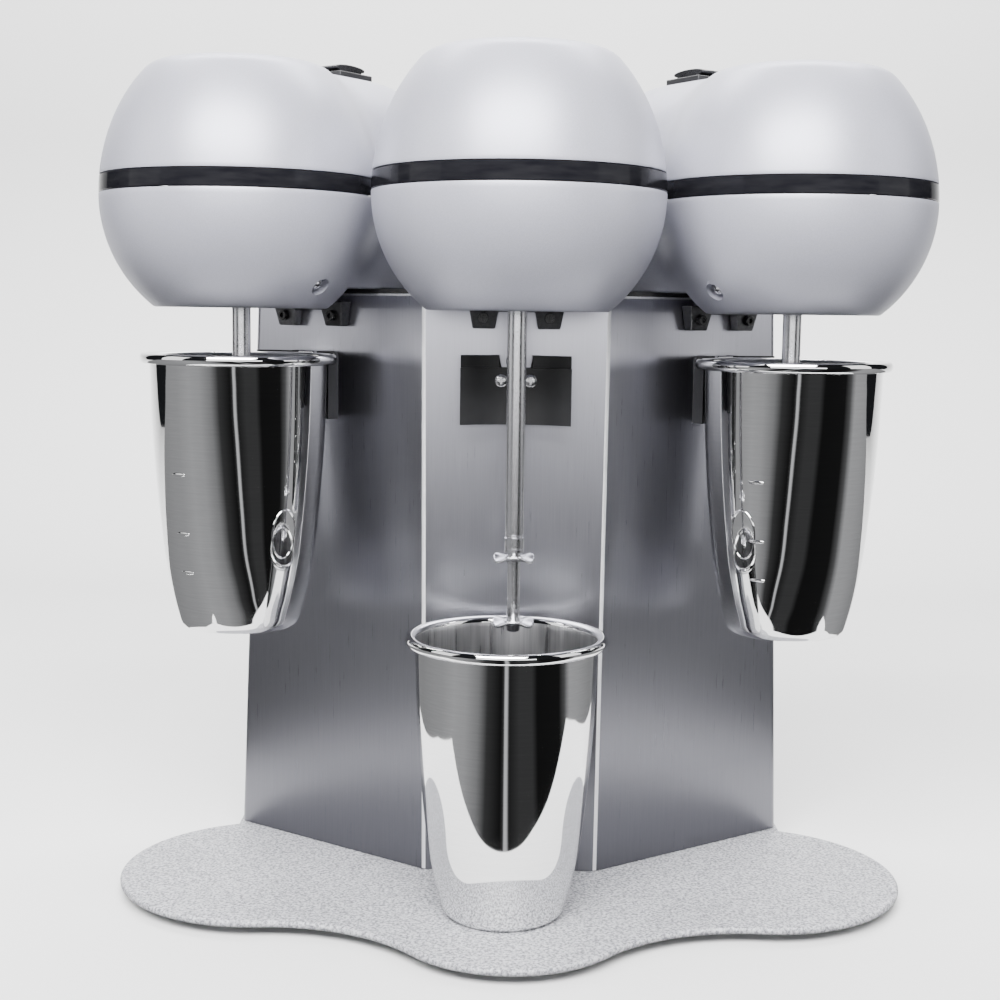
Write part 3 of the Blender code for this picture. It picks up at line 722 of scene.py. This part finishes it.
def cup_rest():
    """Crescent hollowed for the cup's wall, with a ledge for its rim and a notch for the lever."""
    below = rest_layer(REST_WALL_RADIUS, REST_BOTTOM, LEDGE_TOP)
    above = rest_layer(REST_RIM_RADIUS, LEDGE_TOP - 0.008, REST_TOP)
    solid = combined(below, above, "UNION")
    notch = box("notch", (0.0, SPINDLE_TO_FACE, LEDGE_TOP + 0.01), (2 * NOTCH_HALF_WIDTH, 0.05, 0.02))
    return softened(combined(solid, notch, "DIFFERENCE"), 0.0006, 3, 50)


LUG_TOP, LUG_BOTTOM = COLUMN_TOP - 0.0048, COLUMN_TOP - 0.0192
LUG_DEPTH, LUG_FOOT_DEPTH = 0.0090, 0.0062
LUG_SCREW_PLACE = (0.0188, COLUMN_TOP - 0.0132)


def head_bracket():
    """Two wedge-shaped lugs joined by a bar above them."""
    right = [(0.0105, COLUMN_TOP - 0.0098), (0.0122, LUG_BOTTOM), (0.0248, LUG_BOTTOM), (0.0275, LUG_TOP)]
    outline = mirrored(right)
    back = SPINDLE_TO_FACE - GAP
    mesh = turn_upright(extruded("bracket", outline, back - LUG_DEPTH, back))
    for vertex in mesh.vertices:
        if vertex.co.y < back - LUG_DEPTH / 2:
            lowered = (LUG_TOP - vertex.co.z) / (LUG_TOP - LUG_BOTTOM)
            vertex.co.y += lowered * (LUG_DEPTH - LUG_FOOT_DEPTH)
    return softened(mesh, 0.0008, 3, 30)


def lever():
    """Sheet-steel lever, upright from its pivot, with a curled tip."""
    width, thickness, height = 0.0110, 0.0008, 0.0072
    outline = [(-thickness / 2, 0.0), (thickness / 2, 0.0), (thickness / 2, height - 0.0012)]
    outline += arc((thickness / 2 - 0.0009, height - 0.0009), 0.0009, 0.0, math.pi * 0.9, 8)
    outline += [(-thickness / 2, height - 0.0016)]
    return softened(turn_sideways(extruded("lever", outline, -width / 2, width / 2)), 0.00015, 1, 50)


def switch_bezel():
    low, high = heights("centre_switch_body")
    bezel = box("bezel", (0.0, 0.0, high - 0.0019), (0.0230, 0.0290, 0.0038))
    recess = box("recess", (0.0, 0.0, high), (0.0152, 0.0212, 0.0150))
    body = box("body", (0.0, 0.0, (low + high - 0.004) / 2), (*SWITCH_BODY, high - 0.004 - low))
    bezel = softened(combined(bezel, body, "UNION"), 0.0007, 3, 50)
    return combined(bezel, recess, "DIFFERENCE")


def rocker():
    """Saddle-shaped key of the switch, drawn in mm from its pivot."""
    outline = [(-8.8, -3.2), (8.8, -3.2), (9.9, 2.1), (12.6, 2.75)]
    outline += [(12.8 * math.cos(a), 3.9 + 1.9 * math.sin(a)) for a in np.linspace(0, math.pi, 17)]
    outline += [(-12.6, 2.75), (-9.9, 2.1)]
    points = [(y * MM, z * MM) for y, z in outline]
    return softened(turn_sideways(extruded("rocker", points, -0.0071, 0.0071)), 0.0006, 3, 50)


# -------- spindle and beaters

SHAFT_RADIUS = 0.0052
THIN_SHAFT_RADIUS = 0.0036
BEATER_RADIUS = 0.0112


def centre_height(node):
    return sum(heights(node)) / 2


def spindle():
    """Shaft with a groove and a sleeve, and a thin end with a fine joint between the two beaters."""
    low, high = heights("centre_spindle")
    upper = centre_height("centre_upper_beater")
    lower = centre_height("centre_lower_beater")
    groove = PLATE_TOP + 0.2095
    shoulder = upper + 0.0032
    main, thin, bevel = SHAFT_RADIUS, THIN_SHAFT_RADIUS, 0.0003
    waist, sleeve = main - 0.0007, main + 0.0003
    joint = (upper + lower) / 2 - 0.004
    profile = [(0.0, high), (main - 0.001, high), (main, high - 0.001), (main, groove + 0.0009)]
    profile += [(main - bevel, groove + 0.0006), (waist, groove + 0.0004), (waist, groove - 0.0004)]
    profile += [(main, groove - 0.0006), (sleeve, groove - 0.0009), (sleeve, groove - 0.0060)]
    profile += [(main, groove - 0.0063), (main, groove - 0.0066), (sleeve, groove - 0.0069)]
    profile += [(sleeve, shoulder + bevel), (main, shoulder), (thin, shoulder)]
    profile += [(thin, joint + 0.0004), (thin - bevel, joint + 0.0002), (thin - bevel, joint - 0.0002)]
    profile += [(thin, joint - 0.0004), (thin, low + 0.0012), (thin - 0.0004, low + 0.0004)]
    profile += [(thin - 0.0012, low), (0.0, low)]
    return turned("spindle", profile, 56)


def beater():
    """Wavy disc with a rounded rim and a hub."""
    segments, wave, half = 120, 0.0016, 0.0008
    bore = THIN_SHAFT_RADIUS + 0.00005
    section = [(bore, -0.0013), (bore + 0.0012, -0.0013), (bore + 0.0015, -half)]
    section += [(BEATER_RADIUS * s, -half) for s in (0.6, 0.75, 0.9)]
    tip = BEATER_RADIUS - half
    section += arc((tip, 0.0), half, -math.pi / 2, math.pi / 2, 6)
    section += [(BEATER_RADIUS * s, half) for s in (0.9, 0.75, 0.6)]
    section += [(bore + 0.0015, half), (bore + 0.0012, 0.0013), (bore, 0.0013)]
    rings = []
    for radius, height in section:
        lift = wave * (radius / BEATER_RADIUS) ** 2
        ring = circle(radius, height, segments)
        rings.append([(x, y, z + lift * math.sin(3 * math.atan2(y, x))) for x, y, z in ring])
    return finish_mesh(skinned(rings, loop=True), "beater")


# -------- mixing cups

# All in millimetres; the outside is given as radius and height, from the foot to the rim
CUP_OUTSIDE = ((33.9, 4.0), (38.1, 20.0), (41.9, 40.0), (44.9, 66.0), (47.0, 90.0), (48.5, 114.0),
               (49.3, 138.0), (49.6, 149.6))
CUP_WALL = 0.9
LIP_HEIGHT = 152.6      # where the rolled rim meets the cup's inside
SUNK_EDGE = 0.08        # how far a mark's edge goes into the cup's wall


def cup():
    """Tapered cup: dished foot, smooth wall and a rolled rim."""
    outside = smooth_line(CUP_OUTSIDE, 6)
    foot = [(0.0, 1.0), (20.0, 1.0), (27.0, 0.9), (28.6, 0.2), (29.6, 0.0)]
    foot += [(29.6 + 3.0 * math.sin(a), 3.0 - 3.0 * math.cos(a)) for a in np.radians((20, 40, 60))]
    foot += [(33.2, 2.4)]
    rim = [(50.2, 150.0)]
    roll = np.radians(np.linspace(-80, 90, 14))
    rim += [(53.2 + 1.8 * math.cos(a), 152.8 + 2.8 * math.sin(a)) for a in roll]
    rim += [(51.8, 155.5), (50.2, 155.0), (49.1, 154.0), (48.75, LIP_HEIGHT)]
    inside = [(r - CUP_WALL, z) for r, z in reversed(outside)]
    inside += [(32.4, 3.6), (30.8, 2.4), (28.6, 1.95), (20.0, 1.9), (0.0, 1.9)]
    mesh = turned("cup", [(r * MM, z * MM) for r, z in foot + outside + rim + inside], 144)
    for face in mesh.polygons:
        middle, normal = face.center, face.normal
        inwards = middle.x * normal.x + middle.y * normal.y < -0.3 * math.hypot(middle.x, middle.y)
        face.material_index = 1 if inwards and middle.z < LIP_HEIGHT * MM else 0
    return mesh


def cup_radius(height):
    """Outer radius in mm at a height in mm above the cup's foot."""
    radii, levels = zip(*CUP_OUTSIDE)
    return float(np.interp(height, levels, radii))


def on_cup(azimuth, height, proud):
    """A point some mm proud of the cup's outside. Azimuth zero is the front, positive towards +X."""
    radius = cup_radius(height) + proud
    return (radius * math.sin(azimuth) * MM, -radius * math.cos(azimuth) * MM, height * MM)


def dash(azimuth, height, length=10.0, width=2.2, proud=0.55):
    """A measuring mark: a low pressed ridge across the cup's wall."""
    rings = []
    for u in np.linspace(-1, 1, 15):
        taper = math.sqrt(max(1 - abs(u) ** 3, 0.0))
        ring = []
        for v in np.linspace(-1, 1, 9):
            swell = math.sqrt(max(1 - v * v, 0.0)) * taper
            turn = azimuth + u * length / 2 / cup_radius(height)
            ring.append(on_cup(turn, height + v * width / 2 * max(taper, 0.02), proud * swell - SUNK_EDGE))
        rings.append(ring)
    return rings


def oval_stamp(azimuth, height, half_width=7.5, half_height=13.5, ridge=0.75, proud=0.5):
    """A pressed oval ring on the cup's wall."""
    rings = []
    for t in np.linspace(0, 2 * math.pi, 73):
        ring = []
        for v in np.linspace(-1, 1, 9):
            reach = 1 + v * ridge / half_width
            across = half_width * reach * math.cos(t)
            up = (half_height + v * ridge) * math.sin(t)
            swell = math.cos(v * math.pi / 2) ** 1.2 if abs(v) < 1 else 0.0
            turn = azimuth + across / cup_radius(height)
            ring.append(on_cup(turn, height + up, proud * swell - SUNK_EDGE))
        rings.append(ring)
    return rings


# Azimuths in degrees of each cup's dashes and oval, and the oval's height in mm
MARKS = {"left": (0, 78, 57), "centre": (96, 172, 57), "right": (-68, -79, 60)}
DASH_HEIGHTS = (90, 57, 35)


def cup_marks(head):
    """The pressed marks of a head's cup, as one mesh."""
    dash_azimuth, oval_azimuth, oval_height = MARKS[head]
    bm = bmesh.new()
    for height in DASH_HEIGHTS:
        add_grid(bm, dash(math.radians(dash_azimuth), height))
    add_grid(bm, oval_stamp(math.radians(oval_azimuth), oval_height))
    return finish_mesh(bm, "marks")


# -------- base and column

def plate_outline():
    """Three lobes joined by hollow waists in front, and a straight rear edge."""
    front_radius, side_radius, waist_radius = 0.067, 0.0845, 0.100
    front = Vector((0.0, FACE_Y - 0.075))
    side = Vector((0.144, FACE_Y + 0.001))
    to_side = side - front
    apart = to_side.length
    from_front, from_side = front_radius + waist_radius, side_radius + waist_radius
    along = (from_front ** 2 - from_side ** 2 + apart ** 2) / (2 * apart)
    across = math.sqrt(from_front ** 2 - along ** 2)
    unit = to_side / apart
    waist = front + along * unit + across * Vector((unit.y, -unit.x))

    def angle(origin, point):
        return math.atan2(point.y - origin.y, point.x - origin.x)

    rear_y, rear_half_width, corner_radius = 0.132, 0.174, 0.022
    meeting = math.acos((rear_half_width - side.x) / side_radius)
    right = arc(front, front_radius, -math.pi / 2, angle(front, waist), 24)
    right += arc(waist, waist_radius, angle(waist, front), angle(waist, side), 24)[1:]
    right += arc(side, side_radius, angle(side, waist), meeting, 64)[1:]
    corner = (rear_half_width - corner_radius, rear_y - corner_radius)
    right += arc(corner, corner_radius, 0.0, math.pi / 2, 14)
    return right + [(-x, y) for x, y in reversed(right[1:])]


def base_plate():
    return softened(extruded("plate", plate_outline(), FOOT_TOP, PLATE_TOP), 0.0017, 4, 60)


def foot():
    top, radius = FOOT_TOP - GAP, 0.0105
    profile = [(0.0, 0.0), (radius * 0.80, 0.0), (radius * 0.88, 0.0004), (radius, 0.0022)]
    profile += [(radius, top - 0.0004), (radius - 0.0004, top), (0.0, top)]
    return turned("foot", profile, 48)


WING_ANGLE = math.radians(35.1)
FACE_HALF_WIDTHS = (0.0508, 0.0530)      # at the bottom and at the top
WING_LENGTHS = (0.1479, 0.1292)          # at the bottom and at the top
RETURN_FLANGE = 0.014
SHEET = 0.0015
BEND = 0.0055
TOP_EDGE = 0.0013       # height of the band along the top of the sheet that gets the painted highlight


def column_plan(half_width, wing_length):
    """Right-hand half of the plan, from the front bend to the rear flange, with rounded bends."""
    wing = Vector((math.cos(WING_ANGLE), math.sin(WING_ANGLE)))
    corners = [Vector((0.0, FACE_Y)), Vector((half_width, FACE_Y))]
    corners.append(corners[-1] + wing * wing_length)
    rear_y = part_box("column_shell")[1].y
    corners.append(Vector((corners[-1].x, rear_y)))
    corners.append(Vector((corners[-1].x - RETURN_FLANGE, rear_y)))
    points = []
    for before, corner, after in zip(corners, corners[1:], corners[2:]):
        into, out = (corner - before).normalized(), (after - corner).normalized()
        turn = into.angle_signed(out)
        reach = BEND * math.tan(abs(turn) / 2)
        start = corner - into * reach
        side = Vector((into.y, -into.x)) if turn > 0 else Vector((-into.y, into.x))
        centre = start + side * BEND
        spoke = start - centre
        for step in range(7):
            swing = Matrix.Rotation(-turn * step / 6, 2)
            points.append(tuple(centre + swing @ spoke))
    return points + [tuple(corners[-1])]


def column():
    """The folded sheet; its folds and top edge have the second look, a painted highlight."""
    low, high = PLATE_TOP + GAP, COLUMN_TOP
    plans = [column_plan(w, l) for w, l in zip(FACE_HALF_WIDTHS, WING_LENGTHS)]
    rows = []
    for share in (*np.linspace(0, 0.96, 8), 1 - TOP_EDGE / (high - low), 1.0):
        half = [tuple(np.array(a) * (1 - share) + np.array(b) * share) for a, b in zip(*plans)]
        rows.append([(x, y, low + (high - low) * share) for x, y in mirrored(half)])
    bm = bmesh.new()
    add_grid(bm, rows)
    folded = softened(with_thickness(mesh_from(bm, "column"), SHEET, even=True), 0.0004, 2, 60)
    for face in folded.polygons:
        # faces of the folds and of the top edge get the painted highlight
        bearing = math.atan2(abs(face.normal.x), -face.normal.y)
        in_fold = 0.06 < bearing < WING_ANGLE - 0.06 and abs(face.normal.z) < 0.3
        face.material_index = 1 if in_fold or face.center.z > COLUMN_TOP - TOP_EDGE else 0
    return folded


VENT_SLOT = (0.0042, 0.02, 0.032)
VENT_PITCH = 0.013
VENT_ROWS = (0.235, 0.280)      # heights above the base plate


def rear_cover():
    """Flat panel between the wings, with two rows of vent slots."""
    low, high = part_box("rear_cover")
    narrowing = (WING_LENGTHS[0] - WING_LENGTHS[1]) * math.cos(WING_ANGLE)
    half_low = high.x
    half_high = 0.5 * (high.x - low.x) - narrowing + (FACE_HALF_WIDTHS[1] - FACE_HALF_WIDTHS[0])
    outline = [(half_low, low.z), (half_high, high.z), (-half_high, high.z), (-half_low, low.z)]
    mesh = turn_upright(extruded("cover", outline, low.y, high.y))
    for height in VENT_ROWS:
        for step in range(-4, 5):
            slot = box("slot", (step * VENT_PITCH, low.y, PLATE_TOP + height), VENT_SLOT)
            mesh = combined(mesh, softened(slot, 0.0018, 3), "DIFFERENCE")
    return softened(mesh, 0.0004, 2, 60)


def gland():
    """Cord gland with a round collar and a ribbed nose, bored for the cord."""
    bore = 0.0032
    profile = [(bore, 0.0), (0.0105, 0.0), (0.0105, 0.0021), (0.0100, 0.0025), (0.0078, 0.0026)]
    for rib in range(3):
        low, taper = 0.0030 + rib * 0.0012, rib * 0.0006
        profile += [(0.0074 - taper, low), (0.0074 - taper, low + 0.0006), (0.0066 - taper, low + 0.0008)]
    return turned("gland", profile + [(0.0050, 0.0070), (bore, 0.0070)], 48)


# -------- assembly

def make_base():
    piece("base_plate_top", base_plate(), "powder", "stand", stands_for=["base_plate"], smooth=50)
    shared = foot()
    for name in ("front", "left", "right", "rear_left", "rear_right"):
        low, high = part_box("foot_" + name)
        place = moved((low.x + high.x) / 2, (low.y + high.y) / 2, 0.0)
        piece("rubber_foot_" + name, shared, "foot", "stand", place, ["foot_" + name])


def make_column():
    piece("folded_column", column(), "column", "stand", stands_for=["column_shell"], smooth=30,
          second_look="fold_highlight", flat=True)
    piece("rear_panel", rear_cover(), "column", "stand", stands_for=["rear_cover"], flat=True)
    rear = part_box("rear_cover")[1].y
    low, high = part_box("cord_gland")
    place = facing_rear((low.x + high.x) / 2, low.y, (low.z + high.z) / 2)
    piece("gland_for_cord", gland(), "nylon", "stand", place, ["cord_gland"])
    screw = pan_screw(*REAR_SCREW)
    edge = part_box("column_top_plate")[1].x
    for side in SIDES:
        for share in (0.06, 0.5, 0.94):
            x = side * (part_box("rear_cover")[1].x * (1 - share) + edge * share - 0.007)
            z = PLATE_TOP + share * (COLUMN_TOP - PLATE_TOP)
            label = f"rear_screw_{'right' if side > 0 else 'left'}_{round(share * 100)}"
            piece(label, screw, "spindle", "stand", facing_rear(x, rear, z))


def make_drive(head, place, meshes):
    """Spindle and beaters, which turn together."""
    drive = head + "_drive"
    piece(head + "_spindle_shaft", meshes["spindle"], "spindle", drive, place, [head + "_spindle"])
    for level in ("upper", "lower"):
        node = f"{head}_{level}_beater"
        level_place = place @ moved(z=centre_height(node))
        piece(node + "_disc", meshes["beater"], "spindle", drive, level_place, [node])


def make_controls(head, turn, meshes):
    """Lever of the micro switch, rocker and switch bezel."""
    hinge = Vector(JOINTS[head + "_lever_press"]["pos_m"])
    tip = sum(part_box(head + "_cup_lever"), Vector()) / 2 - hinge
    lean = math.atan2(math.hypot(tip.x, tip.y), tip.z)
    at_hinge = Matrix.Translation(hinge) @ turn @ Matrix.Rotation(lean, 4, "X")
    piece(head + "_lever_blade", meshes["lever"], "spindle", head + "_lever", at_hinge, [head + "_cup_lever"])
    rock = Vector(JOINTS[head + "_switch_rock"]["pos_m"])
    at_rock = Matrix.Translation(rock) @ turn
    switch = head + "_switch"
    piece(head + "_rocker_key", meshes["rocker"], "key", switch + "_key", at_rock, [switch + "_rocker"])
    at_switch = Matrix.Translation((rock.x, rock.y, 0.0)) @ turn
    piece(switch + "_bezel", meshes["bezel"], "nylon", "stand", at_switch, [switch + "_body"])


def make_screws(head, place, meshes):
    """Screws of the casing's wells, the lugs and the cup rest."""
    lug_y = SPINDLE_TO_FACE - GAP - 0.5 * (LUG_DEPTH + LUG_FOOT_DEPTH) - 0.0002
    hollow_y = SPINDLE_TO_FACE - CUP_TO_FACE + math.sqrt(REST_WALL_RADIUS ** 2 - REST_SCREW_X ** 2)
    for side, label in zip(SIDES, ("left", "right")):
        well = place @ well_place(side) @ moved(z=-WELL_DEPTH)
        piece(f"{head}_well_screw_{label}", meshes["well_screw"], "spindle", "stand", well)
        at_lug = place @ facing_front(side * LUG_SCREW_PLACE[0], lug_y, LUG_SCREW_PLACE[1])
        piece(f"{head}_lug_screw_{label}", meshes["lug_screw"], "key", "stand", at_lug)
        at_rest = place @ facing_front(side * REST_SCREW_X, hollow_y, REST_SCREW_Z)
        piece(f"{head}_rest_screw_{label}", meshes["rest_screw"], "spindle", "stand", at_rest)


def make_cup(head, turn, mesh):
    low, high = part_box(head + "_mixing_cup")
    standing = moved((low.x + high.x) / 2, (low.y + high.y) / 2, low.z) @ turn
    piece(head + "_cup_body", mesh, "cup", head + "_cup", standing, [head + "_mixing_cup"], smooth=35,
          second_look="cup_inside")
    piece(head + "_cup_marks", cup_marks(head), "cup", head + "_cup", standing, smooth=60)


def make_heads():
    fixed = {
        "upper_shell": (upper_casing(), "casing"),
        "trim_band": (band(), "trim"),
        "lower_shell": (lower_casing(), "casing"),
        "head_bracket": (head_bracket(), "lug"),
        "cup_rest": (cup_rest(), "nylon"),
    }
    meshes = {
        "spindle": spindle(),
        "beater": beater(),
        "cup": cup(),
        "lever": lever(),
        "bezel": switch_bezel(),
        "rocker": rocker(),
        "well_screw": pan_screw(*WELL_SCREW),
        "lug_screw": socket_screw(*LUG_SCREW),
        "rest_screw": pan_screw(*REST_SCREW),
    }
    for head in HEADS:
        place = head_place(head)
        turn = place.to_3x3().to_4x4()
        for node, (mesh, look) in fixed.items():
            flat = node in ("head_bracket", "cup_rest")
            piece(f"{head}_{node}_skin", mesh, look, "stand", place, [f"{head}_{node}"], smooth=32, flat=flat)
        make_drive(head, place, meshes)
        make_controls(head, turn, meshes)
        make_screws(head, place, meshes)
        make_cup(head, turn, meshes["cup"])


def dress_hidden_nodes():
    """The CAD nodes that stay get procedural materials too."""
    looks = {"column_top_plate": "column", "column_gasket": "foot"}
    for head in HEADS:
        looks[head + "_motor_stator"] = "copper"
        for node in ("motor_rotor", "lower_bearing_bridge", "upper_bearing_bridge"):
            looks[f"{head}_{node}"] = "casting"
    for node, look in looks.items():
        obj = frame["nodes"][node]
        obj.data.materials.clear()
        obj.data.materials.append(LOOKS[look][0])


# -------- stage

CAMERA_PLACE = Vector((-0.0055, -0.8865, 0.3379))
CAMERA_YAW = -0.0029
CAMERA_TILT = 0.1183
CAMERA_ROLL = 0.0128
CAMERA_LENS = 56.37


def make_camera():
    camera = bpy.data.cameras.new("camera")
    camera.lens = CAMERA_LENS
    camera.sensor_width = 36.0
    camera.clip_end = 50.0
    obj = add_object("camera", camera)
    turn = Matrix.Rotation(-CAMERA_YAW, 4, "Z") @ Matrix.Rotation(math.pi / 2 - CAMERA_TILT, 4, "X")
    obj.matrix_world = Matrix.Translation(CAMERA_PLACE) @ turn @ Matrix.Rotation(CAMERA_ROLL, 4, "Z")
    bpy.context.scene.camera = obj


def softbox(name, place, target, width, height, power):
    light = bpy.data.lights.new(name, "AREA")
    light.shape = "RECTANGLE"
    light.size = width
    light.size_y = height
    light.energy = power
    look = Vector(target) - Vector(place)
    obj = add_object(name, light)
    obj.matrix_world = Matrix.Translation(place) @ look.to_track_quat("-Z", "Y").to_matrix().to_4x4()


def stage_material(name, colour, rough):
    material, shader, place = new_look(name, 0.0)
    cloud = noise(material, place, 3.0, 2.0)
    paint = coloured(material, cloud, tuple(0.985 * c for c in colour), colour)
    return finish_look(material, shader, paint, ranged(material, cloud, 0, 1, rough, rough))


def add_stage(name, bm, material, hidden_from):
    """A piece of the stage that some kinds of rays don't see."""
    mesh = finish_mesh(bm, name)
    mesh.shade_smooth()
    mesh.materials.append(material)
    obj = add_object(name, mesh)
    for rays in hidden_from:
        setattr(obj, "visible_" + rays, False)


def make_stage():
    """A pale floor that curves up into a pale wall."""
    radius, wall_y, half_width = 0.6, 1.6, 2.4
    section = [(-1.6, 0.0), (wall_y - radius, 0.0)]
    section += arc((wall_y - radius, radius), radius, -math.pi / 2, 0.0, 16)[1:]
    section += [(wall_y, 2.6)]
    bm = bmesh.new()
    add_grid(bm, [[(x, y, z) for y, z in section] for x in (-half_width, half_width)])
    add_stage("sweep", bm, stage_material("pale_paper", (0.86, 0.86, 0.86), 0.8), ["diffuse"])


ROOM = (      # how bright the room is in each direction, in degrees round the machine from its front
    (-120, 0.30), (-92, 0.36), (-78, 0.38), (-60, 0.46), (-45, 0.42), (-30, 0.26), (-20, 0.05), (-5, 0.010),
    (-2, 0.05), (-1, 0.7), (1, 0.7), (3, 0.02), (14, 0.05), (28, 0.05), (34, 0.010), (62, 0.012), (70, 0.10),
    (78, 0.45), (92, 0.42), (120, 0.30))
ROOM_COLOUR = (0.97, 0.98, 1.0)
ROOM_REACH = 6.0
ROOM_BACK = 0.6
ROOM_HEIGHT = 0.002
TABLE_EDGE = (      # round the front of the table from its right rear corner to its left one
    (0.30, ROOM_BACK), (0.36, 0.15), (0.42, -0.02), (0.42, -0.13), (0.09, -0.185), (-0.33, -0.18),
    (-0.36, -0.04), (-0.33, 0.15), (-0.30, ROOM_BACK))


def room_material():
    """Glow that changes with the direction from the machine.

    The room is bright on the left and on the far right, and dark in front but for a narrow bright line.
    """
    material = bpy.data.materials.new("room")
    material.use_nodes = True
    tree = material.node_tree
    tree.nodes.remove(tree.nodes["Principled BSDF"])
    place = tree.nodes.new("ShaderNodeTexCoord").outputs["Object"]
    parts = add_node(material, "SeparateXYZ", {0: place}).outputs
    ahead = add_node(material, "Math", {0: parts["Y"], 1: -1.0}, "MULTIPLY").outputs[0]
    bearing = add_node(material, "Math", {0: parts["X"], 1: ahead}, "ARCTAN2").outputs[0]
    first, last = ROOM[0][0], ROOM[-1][0]
    share = ranged(material, bearing, math.radians(first), math.radians(last), 0.0, 1.0)
    ramp = add_node(material, "ValToRGB", {"Fac": share})
    stops = ramp.color_ramp.elements
    for angle, _ in ROOM[1:-1]:
        stops.new((angle - first) / (last - first))
    for stop, (_, glow) in zip(stops, ROOM):
        stop.color = (*(glow * c for c in ROOM_COLOUR), 1.0)
    glowing = add_node(material, "Emission", {"Color": ramp.outputs["Color"]})
    tree.links.new(glowing.outputs[0], tree.nodes["Material Output"].inputs["Surface"])
    return material


def make_room():
    """A glowing sheet with a hole for the table, seen only in reflections. It stands for the room."""
    outline = [(-ROOM_REACH, ROOM_BACK), (-ROOM_REACH, -ROOM_REACH), (ROOM_REACH, -ROOM_REACH)]
    outline += [(ROOM_REACH, ROOM_BACK), *TABLE_EDGE]
    bm = bmesh.new()
    bm.faces.new([bm.verts.new((x, y, ROOM_HEIGHT)) for x, y in outline])
    add_stage("room", bm, room_material(), ["camera", "diffuse", "shadow"])


def make_light():
    world = bpy.data.worlds.new("studio")
    bpy.context.scene.world = world
    world.use_nodes = True
    background = world.node_tree.nodes["Background"]
    background.inputs["Color"].default_value = (0.50, 0.53, 0.60, 1.0)
    background.inputs["Strength"].default_value = 0.03
    softbox("key", (-0.15, -1.35, 1.42), (0.0, 0.0, 0.38), 1.6, 0.9, 155)
    softbox("card", (0.0, -1.60, 0.43), (0.0, 0.0, 0.36), 2.0, 0.28, 9)
    softbox("left_box", (-1.60, -0.45, 0.86), (0.0, 0.0, 0.50), 0.9, 1.2, 7)
    softbox("right_box", (1.60, -0.45, 0.86), (0.0, 0.0, 0.50), 0.9, 1.2, 7)
    softbox("backdrop_wash", (0.0, 0.85, 2.2), (0.0, 1.5, 0.5), 2.6, 0.5, 130)


make_camera()
make_stage()
make_room()
make_light()
make_base()
make_column()
make_heads()
dress_hidden_nodes()
